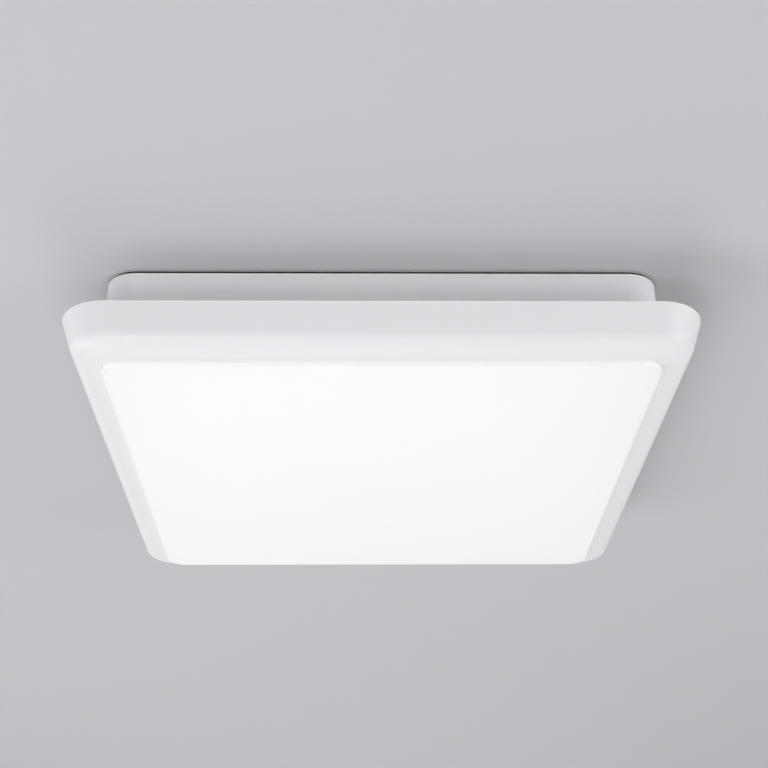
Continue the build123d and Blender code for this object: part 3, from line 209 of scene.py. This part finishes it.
def soft_lamp(name, place, width, power):
    """A square area lamp, unseen by the camera, that faces the middle of the object."""
    lamp_data = bpy.data.lights.new(name, "AREA")
    lamp_data.shape = "SQUARE"
    lamp_data.size = width
    lamp_data.energy = power
    lamp_data.color = light_tint
    lamp = bpy.data.objects.new(name, lamp_data)
    lamp.location = place
    lamp.rotation_euler = (-Vector(place)).to_track_quat("-Z", "Y").to_euler()
    lamp.visible_camera = False
    bpy.context.scene.collection.objects.link(lamp)


soft_lamp("left_level_lamp", (-2.07, -0.37, -0.64), width=1.0, power=5.0)
soft_lamp("left_low_lamp", (-1.56, 0, -1.56), width=1.4, power=12.7)
soft_lamp("right_level_lamp", (1.83, -0.97, -0.6), width=1.0, power=14.5)
soft_lamp("front_lamp", (-0.6, -1.55, -1.5), width=0.5, power=8.4)
soft_lamp("low_lamp", (0, -0.93, -1.99), width=1.4, power=1.6)
soft_lamp("back_lamp", (0, 1.95, -1.58), width=1.4, power=11.0)


# ------------------------------------------------------------------ back pan
# Tray of white powder-coated sheet steel, folded and pressed. It is screwed to the ceiling through
# four slots and carries everything else.
def new_group(name, inputs, outputs):
    """An empty node group; returns it with its input and output nodes."""
    group = bpy.data.node_groups.new(name, "ShaderNodeTree")
    for socket, kind, value in inputs:
        made = group.interface.new_socket(name=socket, in_out="INPUT", socket_type=kind)
        made.default_value = value
    for socket, kind in outputs:
        group.interface.new_socket(name=socket, in_out="OUTPUT", socket_type=kind)
    return group, group.nodes.new("NodeGroupInput"), group.nodes.new("NodeGroupOutput")


def add_group(tree, group, inputs):
    """A shader node group placed in a tree, with its own values."""
    made = tree.nodes.new("ShaderNodeGroup")
    made.node_tree = group
    for name, value in inputs.items():
        made.inputs[name].default_value = value
    return made


cloud_scale = 14.0
band_and_highlight_full_facing = 0.6  # upward part of the normal: below it the paler band (painted highlight on the pan and the rim) has its full share
band_and_highlight_no_facing = 0.9

# skin of a coated or moulded surface: a slow drift of tone, a close shallow relief, and a paler
# band between two heights, except where the surface faces up; on the pan and the rim that band is
# a painted highlight along the upper edge, and on the emitters it is the white sides of the
# packages
skin, entry, leave = new_group(
    "skin",
    [
        ("Colour", "NodeSocketColor", (0.8, 0.8, 0.8, 1)),
        ("Drift", "NodeSocketColor", (0.75, 0.75, 0.75, 1)),
        ("Grain", "NodeSocketFloat", 1500.0),
        ("Roughness", "NodeSocketFloat", 0.4),
        ("Spread", "NodeSocketFloat", 0.1),
        ("Band and highlight", "NodeSocketColor", (0.8, 0.8, 0.8, 1)),
        ("Band and highlight bottom", "NodeSocketFloat", 1.0),
        ("Band and highlight top", "NodeSocketFloat", 1.0),
    ],
    [
        ("Colour", "NodeSocketColor"),
        ("Roughness", "NodeSocketFloat"),
        ("Height", "NodeSocketFloat"),
    ],
)
place = add_node(skin, "ShaderNodeTexCoord")
cloud = add_node(skin, "ShaderNodeTexNoise", {
    "Vector": place.outputs["Object"], "Scale": cloud_scale, "Detail": 4.0,
})
peel = add_node(skin, "ShaderNodeTexNoise", {
    "Vector": place.outputs["Object"], "Scale": entry.outputs["Grain"], "Detail": 2.0,
})
tone = add_node(skin, "ShaderNodeMix", {
    0: cloud.outputs["Fac"], 6: entry.outputs["Colour"], 7: entry.outputs["Drift"],
}, data_type="RGBA")
uneven = add_node(skin, "ShaderNodeMath", {
    0: cloud.outputs["Fac"], 1: entry.outputs["Spread"], 2: entry.outputs["Roughness"],
}, operation="MULTIPLY_ADD")
heights = add_node(skin, "ShaderNodeSeparateXYZ", {0: place.outputs["Object"]})
facings = add_node(skin, "ShaderNodeSeparateXYZ", {0: place.outputs["Normal"]})
above = add_node(skin, "ShaderNodeMapRange", {
    "Value": heights.outputs["Z"], "From Min": entry.outputs["Band and highlight bottom"],
    "From Max": entry.outputs["Band and highlight top"],
})
upright = add_node(skin, "ShaderNodeMapRange", {
    "Value": facings.outputs["Z"], "From Min": band_and_highlight_no_facing, "From Max": band_and_highlight_full_facing,
})
band_and_highlight_share = add_node(skin, "ShaderNodeMath", {
    0: above.outputs["Result"], 1: upright.outputs["Result"],
}, operation="MULTIPLY")
banded_and_highlit = add_node(skin, "ShaderNodeMix", {
    0: band_and_highlight_share.outputs[0], 6: tone.outputs[2], 7: entry.outputs["Band and highlight"],
}, data_type="RGBA")
skin.links.new(banded_and_highlit.outputs[2], leave.inputs["Colour"])
skin.links.new(uneven.outputs[0], leave.inputs["Roughness"])
skin.links.new(peel.outputs["Fac"], leave.inputs["Height"])


def skinned(name, colour, drift, roughness, spread=0.1, grain=1500.0, relief=0.00002,
            edge=(1.0, 1.0), band_and_highlight_colour=(0.8, 0.8, 0.8, 1), **fixed):
    """A material of one shader under a skin; the paler band starts and is full at the heights
    `edge` (a painted highlight on the pan and the rim, the packages' white sides on the emitters),
    and `fixed` are the shader's constant inputs."""
    material, tree, output = new_material(name)
    surface = add_group(tree, skin, {
        "Colour": colour, "Drift": drift, "Grain": grain, "Roughness": roughness, "Spread": spread,
        "Band and highlight": band_and_highlight_colour, "Band and highlight bottom": edge[0], "Band and highlight top": edge[1],
    })
    bump = add_node(tree, "ShaderNodeBump", {
        "Strength": 1.0, "Distance": relief, "Height": surface.outputs["Height"],
    })
    shader = add_node(tree, "ShaderNodeBsdfPrincipled", {
        "Base Color": surface.outputs["Colour"],
        "Roughness": surface.outputs["Roughness"],
        "Normal": bump.outputs["Normal"],
        **{socket.replace("_", " "): value for socket, value in fixed.items()},
    })
    tree.links.new(shader.outputs[0], output.inputs["Surface"])
    return material


def dress(material, slot, *names):
    """Gives CAD nodes their material; `slot` is not used."""
    for name in names:
        nodes[name].data.materials.clear()
        nodes[name].data.materials.append(material)


pan_highlight_heights = (-0.0042, -0.0034)  # heights of the painted highlight along the pan's rounded upper edge
pan_coat = skinned(
    "pan_coat", (0.92, 0.92, 0.92, 1), (0.90, 0.90, 0.905, 1), 0.34, grain=1100.0, relief=0.00004,
    edge=pan_highlight_heights, band_and_highlight_colour=(0.99, 0.99, 0.99, 1),
)
dress(pan_coat, "pan_white", "base_pan")


# ------------------------------------------------------------------ seal on the ceiling
# Square ring of dark closed-cell foam, glued round the pan's back. The foam's own black also
# stands in for the shade in the gap, as painted shade: with the real shade there it makes the thin
# dark line between the lamp and the ceiling.
pore_bottom = 0.15  # distances from a pore's middle, of a cell's size
pore_rim = 0.6

foam_cells, entry, leave = new_group(
    "foam_cells",
    [
        ("Skin", "NodeSocketColor", (0.05, 0.05, 0.055, 1)),
        ("Pore shade", "NodeSocketColor", (0.02, 0.02, 0.02, 1)),
        ("Cells", "NodeSocketFloat", 1400.0),
    ],
    [("Colour", "NodeSocketColor"), ("Height", "NodeSocketFloat")],
)
place = add_node(foam_cells, "ShaderNodeTexCoord")
cells = add_node(foam_cells, "ShaderNodeTexVoronoi", {
    "Vector": place.outputs["Object"], "Scale": entry.outputs["Cells"],
})
wall = add_node(foam_cells, "ShaderNodeMapRange", {
    "Value": cells.outputs["Distance"], "From Min": pore_bottom, "From Max": pore_rim,
})
# the pores' darker colour is painted shade in their hollows
cell_tone_with_pore_shade = add_node(foam_cells, "ShaderNodeMix", {
    0: wall.outputs["Result"], 6: entry.outputs["Pore shade"], 7: entry.outputs["Skin"],
}, data_type="RGBA")
foam_cells.links.new(cell_tone_with_pore_shade.outputs[2], leave.inputs["Colour"])
foam_cells.links.new(wall.outputs["Result"], leave.inputs["Height"])


def foam(name, skin_colour, pore_shade_colour, cell_scale):
    """Closed-cell foam with open pores at its cut faces; the pores are coloured darker, as painted
    shade in their hollows.
    """
    material, tree, output = new_material(name)
    cut = add_group(tree, foam_cells, {
        "Skin": skin_colour, "Pore shade": pore_shade_colour, "Cells": cell_scale,
    })
    bump = add_node(tree, "ShaderNodeBump", {
        "Strength": 0.6, "Distance": 0.0001, "Height": cut.outputs["Height"],
    })
    shader = add_node(tree, "ShaderNodeBsdfPrincipled", {
        "Base Color": cut.outputs["Colour"],
        "Roughness": 0.95,
        "Specular IOR Level": 0.2,
        "Normal": bump.outputs["Normal"],
    })
    tree.links.new(shader.outputs[0], output.inputs["Surface"])
    return material


# darker pores: painted shade
gasket_foam = foam(
    "gasket_foam", skin_colour=(0.055, 0.055, 0.06, 1), pore_shade_colour=(0.015, 0.015, 0.017, 1),
    cell_scale=1400.0,
)
dress(gasket_foam, "gasket_foam", "ceiling_gasket")


# ------------------------------------------------------------------ grommet
# Black rubber moulding whose groove snaps round the edge of the cable hole. Its cone narrows
# towards the room and grips the supply cable.
grommet_rubber = skinned(
    "grommet_rubber", (0.05, 0.05, 0.052, 1), (0.07, 0.07, 0.07, 1), 0.55, grain=2500.0,
)
dress(grommet_rubber, "grommet_rubber", "cable_grommet")


# ------------------------------------------------------------------ terminal block and its buttons
# Off-white polyamide block with three push-in poles, screwed to the pan by its ears. Each orange
# button frees one wire.
block_plastic = skinned(
    "block_plastic", (0.86, 0.85, 0.80, 1), (0.82, 0.81, 0.75, 1), 0.45, grain=2200.0,
)
dress(block_plastic, "block_plastic", "terminal_block")
button_orange = skinned(
    "button_orange", (0.83, 0.30, 0.06, 1), (0.78, 0.26, 0.05, 1), 0.25, relief=0.00001,
)
for number in (1, 2, 3):
    dress(button_orange, "button_orange", f"terminal_button_{number}")


# ------------------------------------------------------------------ screws
# Zinc-plated steel screws with a domed head, a cross recess and a rolled thread. They hold the
# block, the driver, the strips, the earth lug and the diffuser's clips.
haze_scale = 350.0
haze_spread = 0.18

# plated or rolled metal: hazy tone and roughness, and a fine grain stretched along one direction
plating, entry, leave = new_group(
    "plating",
    [
        ("Bright", "NodeSocketColor", (0.75, 0.76, 0.78, 1)),
        ("Dull", "NodeSocketColor", (0.6, 0.61, 0.62, 1)),
        ("Lines", "NodeSocketVector", (300.0, 6000.0, 300.0)),
        ("Roughness", "NodeSocketFloat", 0.28),
    ],
    [
        ("Colour", "NodeSocketColor"),
        ("Roughness", "NodeSocketFloat"),
        ("Height", "NodeSocketFloat"),
    ],
)
place = add_node(plating, "ShaderNodeTexCoord")
stretch = add_node(plating, "ShaderNodeVectorMath", {
    0: place.outputs["Object"], 1: entry.outputs["Lines"],
}, operation="MULTIPLY")
streaks = add_node(plating, "ShaderNodeTexNoise", {
    "Vector": stretch.outputs[0], "Scale": 1.0, "Detail": 3.0,
})
haze = add_node(plating, "ShaderNodeTexNoise", {
    "Vector": place.outputs["Object"], "Scale": haze_scale, "Detail": 3.0,
})
metal_tone = add_node(plating, "ShaderNodeMix", {
    0: haze.outputs["Fac"], 6: entry.outputs["Bright"], 7: entry.outputs["Dull"],
}, data_type="RGBA")
metal_rough = add_node(plating, "ShaderNodeMath", {
    0: haze.outputs["Fac"], 1: haze_spread, 2: entry.outputs["Roughness"],
}, operation="MULTIPLY_ADD")
plating.links.new(metal_tone.outputs[2], leave.inputs["Colour"])
plating.links.new(metal_rough.outputs[0], leave.inputs["Roughness"])
plating.links.new(streaks.outputs["Fac"], leave.inputs["Height"])


def bare_metal(name, bright, dull, roughness, lines):
    """Plated or rolled metal; `lines` stretches its grain along the direction of rolling."""
    material, tree, output = new_material(name)
    surface = add_group(tree, plating, {
        "Bright": bright, "Dull": dull, "Roughness": roughness, "Lines": lines,
    })
    bump = add_node(tree, "ShaderNodeBump", {
        "Strength": 0.5, "Distance": 0.00001, "Height": surface.outputs["Height"],
    })
    shader = add_node(tree, "ShaderNodeBsdfPrincipled", {
        "Base Color": surface.outputs["Colour"],
        "Metallic": 1.0,
        "Roughness": surface.outputs["Roughness"],
        "Normal": bump.outputs["Normal"],
    })
    tree.links.new(shader.outputs[0], output.inputs["Surface"])
    return material


zinc = bare_metal(
    "zinc", (0.80, 0.81, 0.83, 1), (0.62, 0.63, 0.66, 1), 0.24, (2500.0, 2500.0, 2500.0),
)
dress(zinc, "zinc_steel", "earth_washer", "diffuser_clips", "clip_rivets")

weld_gap = 1e-6
screw_facets = 32
dome_steps = (0.0, 0.3, 0.55, 0.75, 0.9, 0.98, 1.0)
dome_share = 0.8  # of the head's height
crown_radius = 0.05  # of the head's radius, as are the cross's sizes
cross_width = 0.3
cross_reach = 0.62
cross_bottom_reach = 0.3
cross_flare = 1.3
cross_bottom_width = 0.8  # of its width at the top
cross_depth = 0.62  # of the head's height
thread_pitch = 0.0009
thread_depth = 0.12  # of the shank's radius
first_turn = 0.6  # radians that the first cross is turned by
turn_between = 1.9
sharp_angle = math.radians(35)


def solid_boxes(name):
    """Lowest and highest corner of each loose solid of a CAD node."""
    solid = bmesh.new()
    solid.from_mesh(nodes[name].data)
    bmesh.ops.remove_doubles(solid, verts=solid.verts, dist=weld_gap)
    waiting = set(solid.verts)
    boxes = []
    while waiting:
        reached = [waiting.pop()]
        for vertex in reached:
            for edge in vertex.link_edges:
                other = edge.other_vert(vertex)
                if other in waiting:
                    waiting.remove(other)
                    reached.append(other)
        boxes.append([
            [bound(vertex.co[axis] for vertex in reached) for axis in range(3)]
            for bound in (min, max)
        ])
    solid.free()
    return sorted(boxes)


def revolved(name, profile, facets):
    """A closed solid turned about the upright axis from its profile of (radius, height) points."""
    points = []
    faces = []
    for radius, height in profile:
        for step in range(facets):
            angle = 2 * math.pi * step / facets
            points.append((radius * math.cos(angle), radius * math.sin(angle), height))
    for ring in range(len(profile) - 1):
        for step in range(facets):
            after = (step + 1) % facets
            faces.append((
                ring * facets + step, ring * facets + after,
                (ring + 1) * facets + after, (ring + 1) * facets + step,
            ))
    faces.append(tuple(reversed(range(facets))))
    faces.append(tuple(range((len(profile) - 1) * facets, len(profile) * facets)))
    mesh = bpy.data.meshes.new(name)
    mesh.from_pydata(points, [], faces)
    return mesh


def cross_cutter(head_radius, depth):
    """Two crossed wedges that cut the recess of a head whose top is at height 0."""
    points = []
    faces = []
    half = head_radius * cross_width / 2
    for turned in (False, True):
        start = len(points)
        for height, reach, thick in (
            (head_radius, head_radius * cross_reach * cross_flare, half * cross_flare),
            (-depth, head_radius * cross_bottom_reach, half * cross_bottom_width),
        ):
            for x_side, y_side in square_corners:
                x, y = x_side * reach, y_side * thick
                points.append((-y, x, height) if turned else (x, y, height))
        faces += [tuple(start + n for n in face) for face in (
            (0, 1, 2, 3), (7, 6, 5, 4), (0, 4, 5, 1), (1, 5, 6, 2), (2, 6, 7, 3), (3, 7, 4, 0),
        )]
    mesh = bpy.data.meshes.new("cross_cutter")
    mesh.from_pydata(points, [], faces)
    return mesh


def cross_screw(head_radius, head_height, shank_radius, length):
    """The mesh of a screw whose head's top is at height 0 and whose threaded shank goes down."""
    profile = []
    for share in dome_steps:
        angle = share * math.pi / 2
        profile.append((
            max(head_radius * math.sin(angle), head_radius * crown_radius),
            -dome_share * head_height * (1 - math.cos(angle)),
        ))
    profile.append((head_radius, -head_height))
    profile.append((shank_radius, -head_height))
    height = -head_height - thread_pitch / 2
    tip = -length + shank_radius / 2
    while height - thread_pitch > tip:
        profile.append((shank_radius, height))
        profile.append((shank_radius * (1 - thread_depth), height - thread_pitch / 2))
        height -= thread_pitch
    profile.append((shank_radius, tip))
    profile.append((shank_radius / 2, -length))
    blank = bpy.data.objects.new("screw_blank", revolved("screw_blank", profile, screw_facets))
    cutter = bpy.data.objects.new(
        "cross_cutter", cross_cutter(head_radius, head_height * cross_depth),
    )
    for part in (blank, cutter):
        bpy.context.scene.collection.objects.link(part)
        facing = bmesh.new()
        facing.from_mesh(part.data)
        bmesh.ops.recalc_face_normals(facing, faces=facing.faces)
        facing.to_mesh(part.data)
        facing.free()
    cut = blank.modifiers.new("recess", "BOOLEAN")
    cut.operation = "DIFFERENCE"
    cut.solver = "EXACT"
    cut.use_self = True
    cut.object = cutter
    bpy.context.view_layer.update()
    recessed = blank.evaluated_get(bpy.context.evaluated_depsgraph_get())
    mesh = bpy.data.meshes.new_from_object(recessed)
    for part in (blank, cutter):
        bpy.data.objects.remove(part)
    return mesh


def screws_for(node, head_radius, head_height, shank_radius, head_up=False):
    """One piece with a detailed screw in place of each solid of a CAD node of screws."""
    joined = bmesh.new()
    for number, (low, high) in enumerate(solid_boxes(node)):
        screw = cross_screw(head_radius, head_height, shank_radius, high[2] - low[2])
        head_top = high[2] if head_up else low[2]
        middle = Vector(((low[0] + high[0]) / 2, (low[1] + high[1]) / 2, head_top))
        turn = Matrix.Rotation(first_turn + turn_between * number, 4, "Z")
        if not head_up:
            turn = turn @ Matrix.Rotation(math.pi, 4, "X")
        screw.transform(Matrix.Translation(middle) @ turn)
        joined.from_mesh(screw)
    mesh = bpy.data.meshes.new(node + "_detailed")
    joined.to_mesh(mesh)
    joined.free()
    for face in mesh.polygons:
        face.use_smooth = True
    mesh.set_sharp_from_angle(angle=sharp_angle)
    mesh.materials.append(zinc)
    piece = bpy.data.objects.new(node + "_detailed", mesh)
    bpy.context.scene.collection.objects.link(piece)
    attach(piece, "cover" if node.startswith("diffuser") else "base")
    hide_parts(node)


for node in ("terminal_screws", "driver_screws", "board_screws"):
    screws_for(node, head_radius=0.0029, head_height=0.0017, shank_radius=0.0014)
screws_for("earth_screw", head_radius=0.0039, head_height=0.0026, shank_radius=0.0019)
screws_for(
    "diffuser_clip_screws", head_radius=0.0023, head_height=0.0015, shank_radius=0.0011,
    head_up=True,
)


# ------------------------------------------------------------------ earth lug
# Ring lug pressed from tinned copper. Its barrel is crimped on the earth wire, and its ring is
# clamped on the pan under a toothed washer.
tinned = bare_metal(
    "tinned", (0.83, 0.82, 0.79, 1), (0.68, 0.66, 0.62, 1), 0.3, (600.0, 4000.0, 600.0),
)
dress(tinned, "lug_tinned", "earth_lug")


# ------------------------------------------------------------------ wires
# Round insulated wires: brown, blue and striped green and yellow on the mains side, red and black
# on the strips' side.
def insulation(name, colour, drift):
    """Extruded insulation with a soft sheen."""
    return skinned(name, colour, drift, 0.38, grain=3000.0, relief=0.000008)


dress(insulation("wire_brown", (0.20, 0.09, 0.045, 1), (0.17, 0.075, 0.04, 1)),
      "wire_brown", "live_wire")
dress(insulation("wire_blue", (0.035, 0.16, 0.55, 1), (0.03, 0.13, 0.48, 1)),
      "wire_blue", "neutral_wire")
dress(insulation("wire_red", (0.60, 0.03, 0.03, 1), (0.52, 0.025, 0.025, 1)),
      "wire_red", "feed_wires_red", "link_wires_red")
dress(insulation("wire_black", (0.03, 0.03, 0.033, 1), (0.045, 0.045, 0.05, 1)),
      "wire_black", "feed_wires_black", "link_wires_black")

stripe_start = 0.68  # upright part of the normal at which the green turns yellow
stripe_full = 0.72
green = (0.04, 0.30, 0.08, 1)
yellow = (0.80, 0.68, 0.04, 1)
striped, tree, output = new_material("wire_green_yellow")
surface = add_node(tree, "ShaderNodeTexCoord")
parts = add_node(tree, "ShaderNodeSeparateXYZ", {0: surface.outputs["Normal"]})
upright = add_node(tree, "ShaderNodeMath", {0: parts.outputs["Z"]}, operation="ABSOLUTE")
stripe = add_node(tree, "ShaderNodeMapRange", {
    "Value": upright.outputs[0], "From Min": stripe_start, "From Max": stripe_full,
})
insulation_tone = add_node(tree, "ShaderNodeMix", {
    0: stripe.outputs["Result"], 6: green, 7: yellow,
}, data_type="RGBA")
shader = add_node(tree, "ShaderNodeBsdfPrincipled", {
    "Base Color": insulation_tone.outputs[2], "Roughness": 0.4,
})
tree.links.new(shader.outputs[0], output.inputs["Surface"])
dress(striped, "wire_green_yellow", "earth_wire")


# ------------------------------------------------------------------ driver
# Two-part housing of moulded white plastic with vents, over a green circuit board with its
# transformer, choke and capacitor. It is screwed to the pan by its ears.
driver_plastic = skinned(
    "driver_plastic", (0.82, 0.82, 0.81, 1), (0.79, 0.79, 0.78, 1), 0.48, grain=1800.0,
    relief=0.00005,
)
dress(driver_plastic, "driver_plastic", "driver_base", "driver_cover")
board_green = skinned(
    "board_green", (0.03, 0.22, 0.08, 1), (0.025, 0.17, 0.06, 1), 0.3, grain=2600.0,
)
dress(board_green, "board_green", "driver_board")
transformer_tape = skinned(
    "transformer_tape", (0.10, 0.095, 0.09, 1), (0.13, 0.12, 0.11, 1), 0.55, grain=1200.0,
)
dress(transformer_tape, "transformer_core", "driver_transformer", "driver_choke")
capacitor_sleeve = skinned(
    "capacitor_sleeve", (0.03, 0.03, 0.07, 1), (0.04, 0.04, 0.08, 1), 0.22,
)
dress(capacitor_sleeve, "capacitor_sleeve", "driver_capacitor")


# ------------------------------------------------------------------ light strips
# Aluminium circuit strips under a white solder mask, screwed to the pan. Each carries six
# emitters, white packages with a yellow face, under moulded acrylic lenses.
strip_mask = skinned(
    "strip_mask", (0.90, 0.90, 0.89, 1), (0.87, 0.87, 0.86, 1), 0.3, grain=3000.0,
)
package_side = (-0.00468, -0.00462)  # height at which the yellow face gives way to the sides
phosphor = skinned(
    "phosphor", (0.93, 0.80, 0.32, 1), (0.90, 0.74, 0.25, 1), 0.3,
    edge=package_side, band_and_highlight_colour=(0.90, 0.90, 0.89, 1),
    Emission_Color=(1.0, 0.95, 0.85, 1), Emission_Strength=2.5,
)
lens_clear = skinned(
    "lens_clear", (0.97, 0.98, 0.98, 1), (0.95, 0.96, 0.97, 1), 0.04, spread=0.02,
    relief=0.000002, IOR=1.49, Transmission_Weight=0.55,
)
for number in (1, 2, 3, 4):
    dress(strip_mask, "strip_white", f"led_board_{number}")
    dress(phosphor, "chip_phosphor", f"led_chips_{number}")
    dress(lens_clear, "lens_clear", f"led_lenses_{number}")
connector_white = skinned(
    "connector_white", (0.88, 0.88, 0.86, 1), (0.85, 0.85, 0.82, 1), 0.32, relief=0.00001,
)
dress(connector_white, "connector_white", "board_connectors", "driver_connectors")
clip_white = skinned("clip_white", (0.85, 0.85, 0.84, 1), (0.82, 0.82, 0.81, 1), 0.45)
dress(clip_white, "clip_white", "wire_clips")


# ------------------------------------------------------------------ cover springs
# Bent leaves of rolled spring steel, riveted under the pan's flange. Their bulges grip the shelf
# inside the rim.
spring_steel = bare_metal(
    "spring_steel", (0.70, 0.71, 0.72, 1), (0.52, 0.53, 0.55, 1), 0.26, (5000.0, 5000.0, 200.0),
)
for number in (1, 2, 3, 4):
    dress(spring_steel, "spring_steel", f"spring_clip_{number}")


# ------------------------------------------------------------------ rim and bezel
# One injection moulding of white plastic with a satin finish. It snaps over the springs and
# carries the diffuser.
rim_highlight_heights = (-0.0382, -0.0374)  # heights of the painted highlight along the thin lip round the rim's top
frame_white = skinned(
    "frame_white", (0.865, 0.865, 0.865, 1), (0.855, 0.855, 0.86, 1), 0.36, spread=0.06,
    grain=1600.0, relief=0.000012, edge=rim_highlight_heights, band_and_highlight_colour=(0.94, 0.94, 0.94, 1),
)
dress(frame_white, "frame_white", "bezel_frame")


# ------------------------------------------------------------------ seals
# Strips of light grey closed-cell foam, glued under the pan's flange and under the diffuser's
# lip. They keep dust and insects out.
# darker pores: painted shade
seal_foam = foam(
    "seal_foam", skin_colour=(0.72, 0.72, 0.72, 1), pore_shade_colour=(0.5, 0.5, 0.5, 1),
    cell_scale=1600.0,
)
dress(seal_foam, "seal_foam", "cover_seal", "diffuser_seal")


# ------------------------------------------------------------------ diffuser
# Tray moulded from opal acrylic, lit from behind. Eight clips hold its lip against the bezel.
# Its thin side wall glows a little more than its face.
glow_strength = 0.17
side_glow = (1.0, 0.975, 1.0, 1)
face_glow = (0.59, 0.575, 0.59, 1)
side_facing = -0.35  # upward part of the normal
face_facing = -0.9
opal, tree, output = new_material("opal")
moulded = add_group(tree, skin, {
    "Colour": (0.845, 0.845, 0.84, 1), "Drift": (0.835, 0.835, 0.83, 1), "Grain": 1500.0,
    "Roughness": 0.3, "Spread": 0.05,
})
opal_bump = add_node(tree, "ShaderNodeBump", {
    "Strength": 1.0, "Distance": 0.000006, "Height": moulded.outputs["Height"],
})
facing = add_node(tree, "ShaderNodeTexCoord")
facing_parts = add_node(tree, "ShaderNodeSeparateXYZ", {0: facing.outputs["Normal"]})
face_share = add_node(tree, "ShaderNodeMapRange", {
    "Value": facing_parts.outputs["Z"], "From Min": side_facing, "From Max": face_facing,
})
glow = add_node(tree, "ShaderNodeMix", {
    0: face_share.outputs["Result"], 6: side_glow, 7: face_glow,
}, data_type="RGBA")
shader = add_node(tree, "ShaderNodeBsdfPrincipled", {
    "Base Color": moulded.outputs["Colour"],
    "Roughness": moulded.outputs["Roughness"],
    "Normal": opal_bump.outputs["Normal"],
    "Emission Color": glow.outputs[2],
    "Emission Strength": glow_strength,
})
tree.links.new(shader.outputs[0], output.inputs["Surface"])
dress(opal, "opal_panel", "diffuser")
